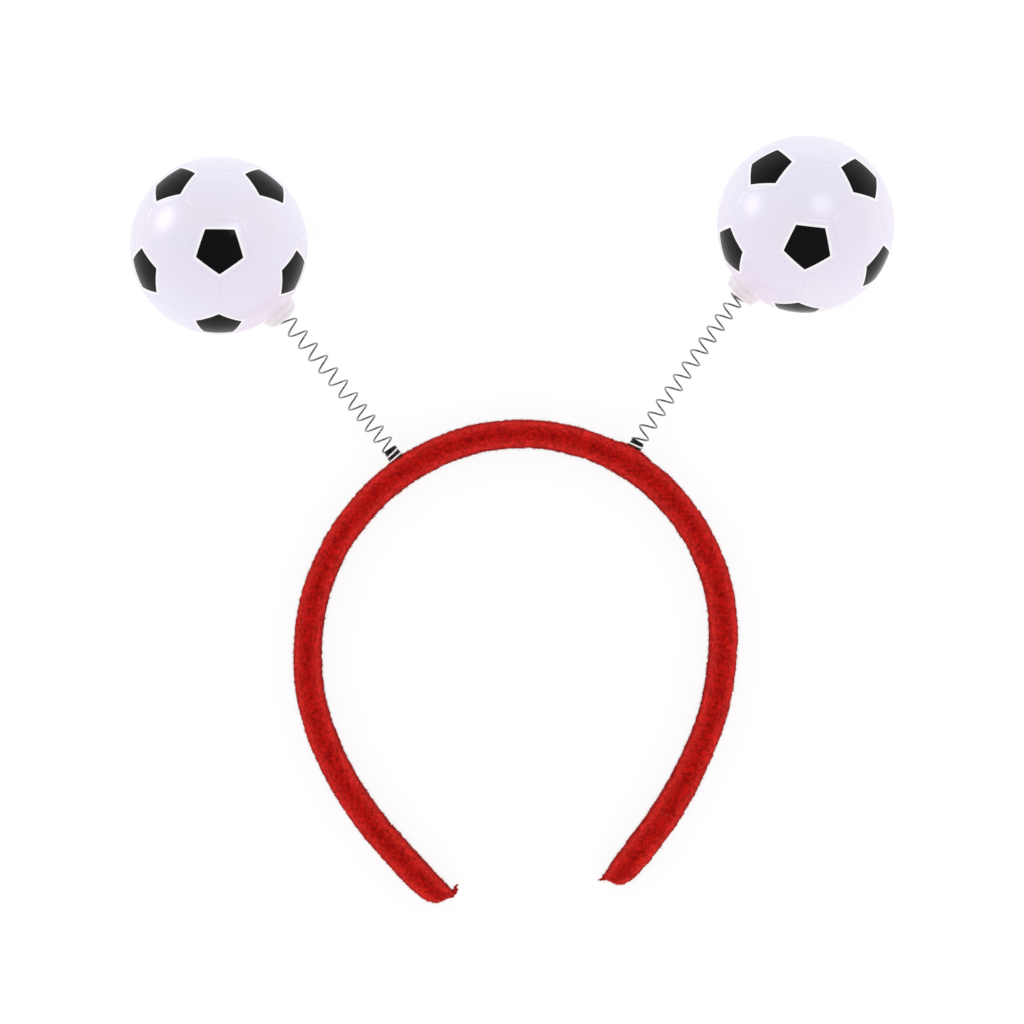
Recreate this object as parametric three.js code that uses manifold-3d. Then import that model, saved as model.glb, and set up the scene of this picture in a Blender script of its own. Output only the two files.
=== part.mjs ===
// Novelty headband: a padded red felt hoop that carries a football on a coil spring at each side.
// Sizes are in millimetres and +Z is up. The headband lies on its side: the crown of the hoop points
// along +Y, its open tips along -Y, and both balls rest on the same surface as the felt.

import * as THREE from "three";
import { LoftGeometry } from "three/addons/geometries/LoftGeometry.js";
import { mergeGeometries, mergeVertices } from "three/addons/utils/BufferGeometryUtils.js";
import Module from "manifold-3d";

const wasm = await Module();
wasm.setup();

// Clearance between pieces that fit into each other, and how far a cutting bar runs past its cut.
const GAP = 0.3;
const CUT_PAST = 4;

// Points closer than the weld are one point, angles closer than the slack (in radians) are equal, and
// a coil's length is measured in this many divisions.
const WELD = 1e-4;
const ANGLE_SLACK = 0.01;
const CURVE_DIVISIONS = 1000;

// The hoop is half round over the crown, centred on the origin, with a curved leg down to each tip.
const HOOP_RADIUS = 65;
const BAND_WIDTH = 8.8;
const BAND_HEIGHT = 11.2;
const BAND_PRESSED = 0.8;
const BAND_SIDES = 16;
const BAND_STEP = 8;

// A leg leaves the half round at an angle and curves to its tip. The two pulls shape the curve.
const LEGS = {
  left: { leaves: 161, leavePull: 52, tip: [-24.2, -83.2], heading: -48.5, tipPull: 37 },
  right: { leaves: 0, leavePull: 34, tip: [30.8, -77.5], heading: -121, tipPull: 21 },
};

// A tip narrows towards its inner edge. Each row gives the share of the full section that is left
// at a distance back from the end.
const TIP_ROWS = [
  { back: 0, width: 0.32, height: 0.42 },
  { back: 0.7, width: 0.5, height: 0.62 },
  { back: 1.8, width: 0.66, height: 0.78 },
  { back: 4.6, width: 0.83, height: 0.92 },
  { back: 8.5, width: 0.95, height: 0.98 },
  { back: 12.5, width: 1, height: 1 },
];

// Stud: a black peg set in the felt.
const STUD_LEVEL = 4.8;
const STUD_RADIUS = 2.3;
const STUD_ROOT = 2;
const STUD_EDGE = 0.4;

// Spring: round wire, wound close on the stud from a drop below its top, then open to the ball,
// with a last turn inside the plug. The pull is the share of its span where its axis keeps straight.
const WIRE_RADIUS = 0.25;
const WIRE_SIDES = 5;
const COIL_RADIUS = 2.35;
const COIL_STEPS = 12;
const FOOT_DROP = 3.1;
const FOOT_TURNS = 1.5;
const FOOT_PITCH = 1.6;
const END_DEPTH = 2.2;
const END_TURNS = 1;
const AXIS_PULL = 0.2;

// Ball: a hollow shell with 12 five-sided and 20 six-sided panels, parted by a moulded seam.
const BALL_RADIUS = 27.6;
const BALL_WALL = 1.2;
const BALL_INNER_DETAIL = 2;
const SEAM_WIDTH = 1.2;
const SEAM_DEPTH = 0.4;
const SEAM_SHARE = 0.355;
const EDGE_STEPS = 2;
const PANEL_RINGS = [0.5, 0];

// Neck and plug: the neck dips towards the floor, and the plug's rim sits on its end.
const ROUND_STEPS = 18;
const NECK_DIP = 18;
const NECK_RADIUS = 5.8;
const NECK_RISE = 1.6;
const NECK_BORE = 4.3;
const PLUG_RADIUS = 5.3;
const PLUG_RIM = 1.2;
const PLUG_SPIGOT = 3.4;
const PLUG_EDGE = 0.5;
const PLUG_BORE = 3;
const PLUG_BORE_DEPTH = 2.8;

// A stalk stands on the hoop at studAngle, where its stud rises out of the felt. Its ball lies at a
// place, with its neck towards the stud, and spin, tip and lean turn the ball's panels. phase is the
// wire's place where the open turns start, and gather draws those turns closer towards the stud.
const STALKS = {
  left: {
    studAngle: 124, studRise: 4, place: [-93, 123], neckHeading: -47.9,
    spin: 53.1, tip: 5, lean: 4.6, openTurns: 10.9, phase: 180, gather: 0.18,
  },
  right: {
    studAngle: 58.8, studRise: 4.8, place: [89.2, 129.6], neckHeading: -133.7,
    spin: 47.7, tip: 17.7, lean: -2.1, openTurns: 11.8, phase: 228, gather: 0,
  },
};

const FELT = new THREE.MeshStandardMaterial({ color: 0xb01c17, roughness: 1, metalness: 0 });
const BLACK_PLASTIC = new THREE.MeshStandardMaterial({ color: 0x141213, roughness: 0.4, metalness: 0 });
const STEEL = new THREE.MeshStandardMaterial({ color: 0xb4b6ba, roughness: 0.25, metalness: 1 });
const WHITE_PLASTIC = new THREE.MeshStandardMaterial({ color: 0xe9e4f0, roughness: 0.3, metalness: 0 });
const MILKY_PLASTIC = new THREE.MeshStandardMaterial({ color: 0xefebf0, roughness: 0.35, metalness: 0 });

const UP = new THREE.Vector3(0, 0, 1);
const LATHE_AXIS = new THREE.Vector3(0, 1, 0);
const radians = THREE.MathUtils.degToRad;

// A unit vector in the plane of the hoop.
function flatDirection(degrees) {
  return new THREE.Vector3(Math.cos(radians(degrees)), Math.sin(radians(degrees)), 0);
}

// A closed geometry as a solid that can be joined and cut.
function toSolid(geometry) {
  const bare = new THREE.BufferGeometry();
  bare.setAttribute("position", geometry.getAttribute("position"));
  bare.setIndex(geometry.getIndex());
  const merged = mergeVertices(bare, WELD);
  return new wasm.Manifold(new wasm.Mesh({
    numProp: 3,
    vertProperties: merged.getAttribute("position").array,
    triVerts: new Uint32Array(merged.getIndex().array),
  }));
}

// A solid as a geometry again.
function toGeometry(solid) {
  const { vertProperties, triVerts } = solid.getMesh();
  const geometry = new THREE.BufferGeometry();
  geometry.setAttribute("position", new THREE.BufferAttribute(vertProperties, 3));
  geometry.setIndex(new THREE.BufferAttribute(triVerts, 1));
  geometry.computeVertexNormals();
  return geometry;
}

// A turned shape about an axis, from a profile of [radius, distance along the axis].
function turned(profile, axis, origin = new THREE.Vector3()) {
  const points = profile.map(([radius, along]) => new THREE.Vector2(radius, along));
  const turn = new THREE.Quaternion().setFromUnitVectors(LATHE_AXIS, axis);
  return new THREE.LatheGeometry(points, ROUND_STEPS).applyQuaternion(turn).translate(...origin);
}

// A plain round bar along an axis.
function bar(radius, from, to, axis, origin) {
  return turned([[0, from], [radius, from], [radius, to], [0, to]], axis, origin);
}

function namedMesh(name, geometry, material) {
  const mesh = new THREE.Mesh(geometry, material);
  mesh.name = name;
  return mesh;
}

// Hoop

// The centre line of the band, from the left tip over the crown to the right tip.
function hoopLine() {
  const { left, right } = LEGS;
  const pulls = {};
  for (const [side, leg] of Object.entries(LEGS)) {
    const shoulder = flatDirection(leg.leaves).multiplyScalar(HOOP_RADIUS);
    const downward = flatDirection(leg.leaves + (side === "left" ? 90 : -90));
    const end = new THREE.Vector3(...leg.tip, 0);
    pulls[side] = {
      shoulder,
      upper: shoulder.clone().addScaledVector(downward, leg.leavePull),
      lower: end.addScaledVector(flatDirection(leg.heading), -leg.tipPull),
    };
  }
  const line = new THREE.Path();
  line.moveTo(...left.tip);
  line.bezierCurveTo(
    pulls.left.lower.x, pulls.left.lower.y,
    pulls.left.upper.x, pulls.left.upper.y,
    pulls.left.shoulder.x, pulls.left.shoulder.y,
  );
  line.absarc(0, 0, HOOP_RADIUS, radians(left.leaves), radians(right.leaves), true);
  line.bezierCurveTo(
    pulls.right.upper.x, pulls.right.upper.y,
    pulls.right.lower.x, pulls.right.lower.y,
    ...right.tip,
  );
  return line;
}

// The shares of the full section that are left at a distance from the nearer end of the band.
function tipShares(back) {
  const next = TIP_ROWS.findIndex((row) => row.back >= back);
  if (next < 0) return TIP_ROWS.at(-1);
  if (next === 0) return TIP_ROWS[0];
  const near = TIP_ROWS[next - 1];
  const far = TIP_ROWS[next];
  const share = (back - near.back) / (far.back - near.back);
  return {
    width: THREE.MathUtils.lerp(near.width, far.width, share),
    height: THREE.MathUtils.lerp(near.height, far.height, share),
  };
}

// One rounded section of the band, pressed flat where it lies on the surface.
function bandSection(line, length, along) {
  const centre = line.getPointAt(along / length);
  const ahead = line.getTangentAt(along / length);
  const outward = new THREE.Vector3(-ahead.y, ahead.x, 0);
  const shares = tipShares(Math.min(along, length - along));
  const halfWidth = (BAND_WIDTH / 2) * shares.width;
  const halfHeight = (BAND_HEIGHT / 2) * shares.height;
  const section = [];
  for (let i = 0; i < BAND_SIDES; i += 1) {
    const angle = (i / BAND_SIDES) * 2 * Math.PI;
    const out = halfWidth - BAND_WIDTH / 2 + halfWidth * Math.cos(angle);
    const height = Math.max(0, halfHeight * (1 + Math.sin(angle)) - BAND_PRESSED);
    section.push(new THREE.Vector3(centre.x, centre.y, height).addScaledVector(outward, out));
  }
  return section;
}

function buildBand(sockets) {
  const line = hoopLine();
  const length = line.getLength();
  const tipReach = TIP_ROWS.at(-1).back;
  const steps = Math.round((length - 2 * tipReach) / BAND_STEP);
  const places = TIP_ROWS.map((row) => row.back);
  for (let i = 1; i < steps; i += 1) {
    places.push(tipReach + (i / steps) * (length - 2 * tipReach));
  }
  places.push(...TIP_ROWS.map((row) => length - row.back).reverse());
  const sections = places.map((along) => bandSection(line, length, along));
  let felt = toSolid(new LoftGeometry(sections, { capStart: true, capEnd: true }));
  for (const socket of sockets) felt = felt.subtract(toSolid(socket));
  return namedMesh("band", toGeometry(felt), FELT);
}

// Spring

// The wire's own curve: a coil about a smooth axis. turnRows give the turns made along the axis, and
// a row's gather makes more of them early in the stretch that ends there.
class CoilCurve extends THREE.Curve {
  constructor(axis, from, to, turnRows, phase) {
    super();
    Object.assign(this, { axis, from, to, turnRows, phase });
    this.axisLength = axis.getLength();
    this.arcLengthDivisions = CURVE_DIVISIONS;
  }

  turnsAt(along) {
    const next = Math.max(1, this.turnRows.findIndex((row) => row.along >= along));
    const near = this.turnRows[next - 1];
    const far = this.turnRows[next];
    const share = (along - near.along) / (far.along - near.along);
    const drawn = share + far.gather * share * (1 - share);
    return THREE.MathUtils.lerp(near.turns, far.turns, drawn);
  }

  getPoint(t, target = new THREE.Vector3()) {
    const along = THREE.MathUtils.lerp(this.from, this.to, t);
    const share = along / this.axisLength;
    const ahead = this.axis.getTangentAt(share);
    const right = new THREE.Vector3().crossVectors(ahead, UP).normalize();
    const over = new THREE.Vector3().crossVectors(right, ahead);
    const angle = radians(this.phase) + this.turnsAt(along) * 2 * Math.PI;
    target.copy(this.axis.getPointAt(share));
    target.addScaledVector(right, COIL_RADIUS * Math.cos(angle));
    return target.addScaledVector(over, -COIL_RADIUS * Math.sin(angle));
  }
}

// A round section swept along a coil.
function sweptWire(curve, radius, turns) {
  const corners = [];
  for (let i = 0; i < WIRE_SIDES; i += 1) {
    const angle = (i / WIRE_SIDES) * 2 * Math.PI;
    corners.push(new THREE.Vector2(radius * Math.cos(angle), radius * Math.sin(angle)));
  }
  const steps = Math.round(turns * COIL_STEPS);
  return new THREE.ExtrudeGeometry(new THREE.Shape(corners), { steps, extrudePath: curve });
}

// Ball

// The 12 directions of the five-sided panels, one of them along +Z with a neighbour over +X.
function panelDirections() {
  const lean = Math.atan(2);
  const directions = [UP.clone()];
  for (let i = 0; i < 5; i += 1) {
    const around = flatDirection(72 * i);
    directions.push(UP.clone().multiplyScalar(Math.cos(lean)).addScaledVector(around, Math.sin(lean)));
  }
  return [...directions, ...directions.map((direction) => direction.clone().negate())];
}

// Directions sorted anticlockwise about a centre, seen from outside the ball.
function sortedAround(centre, directions) {
  const start = directions[0].clone().projectOnPlane(centre).normalize();
  const side = new THREE.Vector3().crossVectors(centre, start);
  const angle = (direction) => Math.atan2(direction.dot(side), direction.dot(start));
  return [...directions].sort((a, b) => angle(a) - angle(b));
}

// The corner of a panel, a share of the way from one five-sided panel's centre to its neighbour's.
function seamCorner(from, to) {
  return from.clone().lerp(to, SEAM_SHARE).normalize();
}

// One panel lofted in rings: up out of the seam to its shoulder, then over its crown.
function panelLoft(centre, corners) {
  const edge = [];
  corners.forEach((corner, i) => {
    const next = corners[(i + 1) % corners.length];
    for (let step = 0; step < EDGE_STEPS; step += 1) {
      edge.push(corner.clone().lerp(next, step / EDGE_STEPS).normalize());
    }
  });
  const middle = corners[0].clone().add(corners[1]).normalize();
  const inset = SEAM_WIDTH / 2 / BALL_RADIUS / centre.angleTo(middle);
  const ring = (share, radius) => edge.map(
    (direction) => centre.clone().lerp(direction, share).setLength(radius),
  );
  return new LoftGeometry([
    ring(1, BALL_RADIUS - SEAM_DEPTH),
    ring(1 - inset, BALL_RADIUS),
    ...PANEL_RINGS.map((share) => ring(share, BALL_RADIUS)),
  ]);
}

// The ball's outer skin, before it is turned: every panel, meeting its neighbours along the seams.
function ballSkin() {
  const poles = panelDirections();
  const apart = poles[0].angleTo(poles[1]) + ANGLE_SLACK;
  const beside = (a, b) => a !== b && a.angleTo(b) < apart;
  const lofts = poles.map((pole) => {
    const neighbours = sortedAround(pole, poles.filter((other) => beside(pole, other)));
    return panelLoft(pole, neighbours.map((other) => seamCorner(pole, other)));
  });
  poles.forEach((a, i) => poles.slice(i + 1).forEach((b, j) => poles.slice(i + j + 2).forEach((c) => {
    if (!beside(a, b) || !beside(b, c) || !beside(a, c)) return;
    const centre = a.clone().add(b).add(c).normalize();
    const trio = sortedAround(centre, [a, b, c]);
    const corners = trio.flatMap((pole, k) => {
      const next = trio[(k + 1) % 3];
      return [seamCorner(pole, next), seamCorner(next, pole)];
    });
    lofts.push(panelLoft(centre, corners));
  })));
  for (const loft of lofts) {
    loft.deleteAttribute("normal");
    loft.deleteAttribute("uv");
  }
  return mergeGeometries(lofts);
}

// A hollow ball about the origin, with its neck along a direction.
function buildBall(name, stalk, neck) {
  const turn = new THREE.Euler(radians(stalk.tip), radians(stalk.lean), radians(stalk.spin), "XYZ");
  const skin = ballSkin().applyQuaternion(new THREE.Quaternion().setFromEuler(turn));
  const innerRadius = BALL_RADIUS - BALL_WALL;
  const inner = new THREE.IcosahedronGeometry(innerRadius, BALL_INNER_DETAIL);
  const neckEnd = BALL_RADIUS + NECK_RISE;
  const collar = turned([
    [0, innerRadius],
    [NECK_RADIUS, innerRadius],
    [NECK_RADIUS, neckEnd - PLUG_EDGE],
    [NECK_RADIUS - PLUG_EDGE / 2, neckEnd],
    [0, neckEnd],
  ], neck);
  const bore = bar(NECK_BORE, innerRadius - CUT_PAST, neckEnd + CUT_PAST, neck);
  const shell = toSolid(skin).add(toSolid(collar)).subtract(toSolid(inner)).subtract(toSolid(bore));
  return namedMesh(name, toGeometry(shell), WHITE_PLASTIC);
}

// The plug that closes the neck, with a blind bore for the wire's last turn.
function buildPlug(name, neck) {
  const seat = BALL_RADIUS + NECK_RISE + GAP;
  const rim = seat + PLUG_RIM;
  const geometry = turned([
    [0, seat - PLUG_SPIGOT],
    [NECK_BORE - GAP, seat - PLUG_SPIGOT],
    [NECK_BORE - GAP, seat],
    [PLUG_RADIUS, seat],
    [PLUG_RADIUS, rim - PLUG_EDGE],
    [PLUG_RADIUS - PLUG_EDGE, rim],
    [PLUG_BORE, rim],
    [PLUG_BORE, rim - PLUG_BORE_DEPTH],
    [0, rim - PLUG_BORE_DEPTH],
  ], neck);
  return namedMesh(name, geometry, MILKY_PLASTIC);
}

// Assembly

const headband = new THREE.Group();
const sockets = [];

for (const [side, stalk] of Object.entries(STALKS)) {
  const outward = flatDirection(stalk.studAngle);
  const foot = outward.clone().multiplyScalar(HOOP_RADIUS + BAND_WIDTH / 2).setZ(STUD_LEVEL);
  sockets.push(bar(STUD_RADIUS + GAP, -STUD_ROOT - GAP, CUT_PAST, outward, foot));

  const ballCentre = new THREE.Vector3(...stalk.place, BALL_RADIUS);
  const neck = flatDirection(stalk.neckHeading).multiplyScalar(Math.cos(radians(NECK_DIP)));
  neck.setZ(-Math.sin(radians(NECK_DIP)));

  const rimDistance = BALL_RADIUS + NECK_RISE + GAP + PLUG_RIM;
  const wireEnd = ballCentre.clone().addScaledVector(neck, rimDistance - END_DEPTH);
  const pull = foot.distanceTo(wireEnd) * AXIS_PULL;
  const axis = new THREE.CubicBezierCurve3(
    foot,
    foot.clone().addScaledVector(outward, pull),
    wireEnd.clone().addScaledVector(neck, pull),
    wireEnd,
  );
  const axisLength = axis.getLength();
  const footStart = stalk.studRise - FOOT_DROP;
  const footEnd = footStart + FOOT_TURNS * FOOT_PITCH;
  const turnRows = [
    { along: footStart, turns: -FOOT_TURNS, gather: 0 },
    { along: footEnd, turns: 0, gather: 0 },
    { along: axisLength - END_DEPTH, turns: stalk.openTurns, gather: stalk.gather },
    { along: axisLength, turns: stalk.openTurns + END_TURNS, gather: 0 },
  ];
  const wire = new CoilCurve(axis, footStart, axisLength, turnRows, stalk.phase);
  const wireTurns = FOOT_TURNS + stalk.openTurns + END_TURNS;
  headband.add(namedMesh(`spring_${side}`, sweptWire(wire, WIRE_RADIUS, wireTurns), STEEL));

  // The groove in the stud follows the wire until the coil has opened past the stud's top.
  const grooveFrom = footStart - WIRE_RADIUS - GAP;
  const grooveTo = stalk.studRise + 2 * WIRE_RADIUS + GAP;
  const groove = new CoilCurve(axis, grooveFrom, grooveTo, turnRows, stalk.phase);
  const peg = toSolid(turned([
    [0, -STUD_ROOT],
    [STUD_RADIUS, -STUD_ROOT],
    [STUD_RADIUS, stalk.studRise - STUD_EDGE],
    [STUD_RADIUS - STUD_EDGE, stalk.studRise],
    [0, stalk.studRise],
  ], outward, foot));
  const grooveTurns = groove.turnsAt(grooveTo) - groove.turnsAt(grooveFrom);
  const grooved = peg.subtract(toSolid(sweptWire(groove, WIRE_RADIUS + GAP, grooveTurns)));
  headband.add(namedMesh(`stud_${side}`, toGeometry(grooved), BLACK_PLASTIC));

  const bopper = new THREE.Group();
  bopper.position.copy(ballCentre);
  bopper.add(buildBall(`ball_${side}`, stalk, neck), buildPlug(`plug_${side}`, neck));
  headband.add(bopper);
}

headband.add(buildBand(sockets));

// The origin is under the middle of the whole headband, on the surface that it lies on.
const extent = new THREE.Box3().setFromObject(headband);
const middle = extent.getCenter(new THREE.Vector3());
headband.position.set(-middle.x, -middle.y, -extent.min.z);

export default headband;
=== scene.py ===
"""Novelty headband: a red felt hoop that carries a small football on a coil spring at each side.

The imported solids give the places. Each class models one sub-assembly there and dresses it.
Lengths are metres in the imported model's own frame, most of them written as millimetres times MM.
"""

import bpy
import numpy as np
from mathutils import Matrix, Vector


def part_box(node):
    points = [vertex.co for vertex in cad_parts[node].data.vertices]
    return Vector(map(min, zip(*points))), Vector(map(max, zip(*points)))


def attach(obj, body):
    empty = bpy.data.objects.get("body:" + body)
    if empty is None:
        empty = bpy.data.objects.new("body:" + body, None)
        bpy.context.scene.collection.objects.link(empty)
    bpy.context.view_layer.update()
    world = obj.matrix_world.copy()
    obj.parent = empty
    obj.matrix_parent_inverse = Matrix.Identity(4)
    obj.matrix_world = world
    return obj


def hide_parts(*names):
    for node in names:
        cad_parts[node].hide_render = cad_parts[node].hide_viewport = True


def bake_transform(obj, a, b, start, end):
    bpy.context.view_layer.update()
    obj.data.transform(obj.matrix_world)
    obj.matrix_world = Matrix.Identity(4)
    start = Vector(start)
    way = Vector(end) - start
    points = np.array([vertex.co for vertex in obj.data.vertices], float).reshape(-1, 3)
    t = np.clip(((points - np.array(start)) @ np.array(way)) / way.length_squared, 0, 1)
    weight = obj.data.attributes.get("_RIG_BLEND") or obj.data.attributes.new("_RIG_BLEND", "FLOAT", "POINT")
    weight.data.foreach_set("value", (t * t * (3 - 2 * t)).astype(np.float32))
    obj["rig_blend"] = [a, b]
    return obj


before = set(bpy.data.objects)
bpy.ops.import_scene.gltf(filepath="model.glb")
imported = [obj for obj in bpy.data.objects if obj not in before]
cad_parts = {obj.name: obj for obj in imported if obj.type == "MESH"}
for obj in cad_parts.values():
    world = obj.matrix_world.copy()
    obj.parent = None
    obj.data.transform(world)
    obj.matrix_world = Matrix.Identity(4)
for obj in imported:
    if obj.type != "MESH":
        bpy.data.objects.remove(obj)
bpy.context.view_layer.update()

import logging
import math
from contextlib import contextmanager
from dataclasses import dataclass
from enum import Enum, IntEnum
from typing import Callable, Iterator, Optional

import bmesh
import bpy
import numpy as np
from mathutils import Color, Matrix, Vector

LOG = logging.getLogger("headband")
MM = 0.001
UP = Vector((0.0, 0.0, 1.0))
WHITE = (1.0, 1.0, 1.0)

# The colour sockets of a Mix node: its share, its two colours and its result.
MIX_INPUTS = (0, 6, 7)
MIX_RESULT = 2

# The angle between the middles of neighbouring five-sided panels, and the slack of its cosine.
PANELS_APART = math.atan(2.0)
APART_SLACK = 0.01

# The shade that marks a pale hair. Other hairs have shades from 0 to 1.
PALE_SHADE = 2.0

Shown = tuple[int, int, int]
Colour = tuple[float, float, float]
Place = tuple[float, float, float]
Flat = tuple[float, float]
Rows = np.ndarray
Piece = bpy.types.Object
Material = bpy.types.Material
Socket = bpy.types.NodeSocket
Sockets = bpy.types.bpy_prop_collection


class Side(Enum):
    """The side of the headband that a spring and its football are on."""

    LEFT = "left"
    RIGHT = "right"


class Kind(Enum):
    """What is selected in edit mode, with a mesh's own name for all of its kind."""

    FACE = "faces"
    EDGE = "edges"


class Run(Enum):
    """How a wire runs between its places."""

    SMOOTH = "NURBS"
    STRAIGHT = "POLY"


class BallSlot(IntEnum):
    """The material slots of a football."""

    SHELL = 0
    INK = 1
    NECK = 2


def screen_colour(red: int, green: int, blue: int) -> Colour:
    """Turns a colour from 0 to 255, as a screen shows it, into the linear light that shaders take."""
    return tuple(Color((red / 255, green / 255, blue / 255)).from_srgb_to_scene_linear())


def heading(degrees: float) -> Vector:
    """Gives the level direction at an angle from +X towards +Y."""
    return Vector((math.cos(math.radians(degrees)), math.sin(math.radians(degrees)), 0.0))


def smooth_step(values: Rows) -> Rows:
    """Eases values from 0 to 1 and holds them there outside that range."""
    share = np.clip(values, 0.0, 1.0)
    return share * share * (3.0 - 2.0 * share)


def unit_rows(rows: Rows) -> Rows:
    """Scales rows to a length of one."""
    return rows / np.linalg.norm(rows, axis=1, keepdims=True)


def bezier(knots: tuple[Rows, ...], count: int) -> Rows:
    """Gives points on the cubic curve that four knots pull, both ends included."""
    share = np.linspace(0.0, 1.0, count)[:, None]
    return sum(math.comb(3, n) * (1.0 - share) ** (3 - n) * share**n * knot for n, knot in enumerate(knots))


@dataclass
class MeasuredPath:
    """A line that can be read at any distance along it."""

    points: Rows  # One row for each of its points, close together.

    def __post_init__(self) -> None:
        """Measures the line."""
        steps = np.linalg.norm(np.diff(self.points, axis=0), axis=1)
        self.distances = np.concatenate([[0.0], np.cumsum(steps)])
        self.directions = np.gradient(self.points, self.distances, axis=0)
        self.length = float(self.distances[-1])

    def _between(self, rows: Rows, along: Rows) -> Rows:
        """Reads rows that belong to the line's points, at distances between them."""
        return np.stack([np.interp(along, self.distances, column) for column in rows.T], axis=1)

    def read(self, along: Rows) -> tuple[Rows, Rows]:
        """Gives the points at distances from the line's start, and the unit directions there."""
        return self._between(self.points, along), unit_rows(self._between(self.directions, along))


def deselect() -> None:
    """Leaves nothing selected."""
    bpy.ops.object.select_all(action="DESELECT")


def pick(piece: Piece) -> None:
    """Makes a piece the only one that is selected, and the active one.

    Args:
        piece: The piece.
    """
    deselect()
    piece.select_set(True)
    bpy.context.view_layer.objects.active = piece


@contextmanager
def editing(piece: Piece) -> Iterator[None]:
    """Keeps a piece in edit mode while operators shape it.

    Args:
        piece: The piece to edit.

    Returns:
        Nothing, for the length of a with block.
    """
    pick(piece)
    bpy.ops.object.mode_set(mode="EDIT")
    yield
    bpy.ops.object.mode_set(mode="OBJECT")


def select(piece: Piece, kind: Kind, wanted: Callable[[object], bool]) -> None:
    """Selects some faces or edges of the piece that is in edit mode, and nothing else.

    Args:
        piece: The piece that is being edited.
        kind: Whether faces or edges are selected.
        wanted: Says whether a face or an edge is one of them.
    """
    bpy.ops.mesh.select_mode(type=kind.name)
    bpy.ops.mesh.select_all(action="DESELECT")
    for part in getattr(bmesh.from_edit_mesh(piece.data), kind.value):
        if wanted(part):
            part.select_set(True)
    bmesh.update_edit_mesh(piece.data)


def apply_modifier(piece: Piece, kind: str, **settings: object) -> None:
    """Adds a modifier to a piece and applies it.

    Args:
        piece: The piece to change.
        kind: The modifier's type.
        settings: The modifier's own settings.
    """
    pick(piece)
    modifier = piece.modifiers.new(kind.lower(), kind)
    for name, value in settings.items():
        setattr(modifier, name, value)
    bpy.ops.object.modifier_apply(modifier=modifier.name)


def unite(piece: Piece, other: Piece) -> None:
    """Joins another closed piece to a piece, and removes the other one."""
    apply_modifier(piece, "BOOLEAN", object=other, operation="UNION", solver="EXACT")
    bpy.data.objects.remove(other)


def settle(piece: Piece, name: str) -> None:
    """Names a piece and its mesh, and puts its place into the mesh.

    Args:
        piece: The piece.
        name: Its name.
    """
    pick(piece)
    bpy.ops.object.transform_apply(location=True, rotation=True, scale=True)
    piece.name = piece.data.name = name


def smooth(piece: Piece, degrees: float) -> None:
    """Shades a piece smooth except at edges sharper than an angle."""
    pick(piece)
    bpy.ops.object.shade_smooth_by_angle(angle=math.radians(degrees))


def read_points(piece: Piece) -> Rows:
    """Reads a piece's vertices.

    Args:
        piece: The piece.

    Returns:
        One row for each vertex.
    """
    points = np.empty(len(piece.data.vertices) * 3)
    piece.data.vertices.foreach_get("co", points)
    return points.reshape(-1, 3)


def write_points(piece: Piece, points: Rows) -> None:
    """Moves a piece's vertices to new places, one row each."""
    piece.data.vertices.foreach_set("co", points.ravel())
    piece.data.update()


def read_values(piece: Piece, name: str) -> Rows:
    """Reads the numbers that a piece keeps under a name.

    Args:
        piece: The piece.
        name: The name.

    Returns:
        One number for each vertex.
    """
    values = np.empty(len(piece.data.vertices))
    piece.data.attributes[name].data.foreach_get("value", values)
    return values


def keep_values(piece: Piece, name: str, values: Rows) -> None:
    """Keeps one number for each vertex of a piece under a name."""
    kept = piece.data.attributes.new(name, "FLOAT", "POINT")
    kept.data.foreach_set("value", values.astype(float))


def add_bar(name: str, sides: int, radius: float, depth: float, middle: Vector, axis: Vector) -> Piece:
    """Adds a cylinder with its place in its mesh.

    Args:
        name: The cylinder's name.
        sides: How many sides it has.
        radius: Its radius.
        depth: Its length.
        middle: Where its middle lies.
        axis: The direction of its axis.

    Returns:
        The cylinder.
    """
    deselect()
    turned = UP.rotation_difference(axis).to_euler()
    bpy.ops.mesh.primitive_cylinder_add(
        vertices=sides, radius=radius, depth=depth, location=middle, rotation=turned
    )
    bar = bpy.context.object
    settle(bar, name)
    return bar


def bent_wire(name: str, run: Run, places: Rows, radii: Rows, roundness: int) -> Piece:
    """Draws a round wire through places and makes it a mesh.

    Args:
        name: The wire's name.
        run: How it runs between its places.
        places: One row for each place.
        radii: Its radius at each place, in millimetres.
        roundness: How finely its section is rounded.

    Returns:
        The wire.
    """
    curve = bpy.data.curves.new(name, "CURVE")
    curve.dimensions = "3D"
    curve.bevel_depth = MM
    curve.bevel_resolution = roundness
    curve.use_fill_caps = True
    spline = curve.splines.new(run.value)
    spline.points.add(len(places) - 1)
    spline.use_endpoint_u = True
    spline.order_u = 4
    spline.resolution_u = 10
    spline.points.foreach_set("co", np.column_stack([places, np.ones(len(places))]).ravel())
    spline.points.foreach_set("radius", np.array(radii))
    wire = bpy.data.objects.new(name, curve)
    bpy.context.scene.collection.objects.link(wire)
    pick(wire)
    bpy.ops.object.convert(target="MESH")
    return bpy.context.object


@dataclass(frozen=True)
class Noise:
    """A noise pattern."""

    scale: Optional[float]  # How many of its features there are in a metre, unless the material says so.
    detail: float
    roughness: float = 0.5
    distortion: float = 0.0


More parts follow.
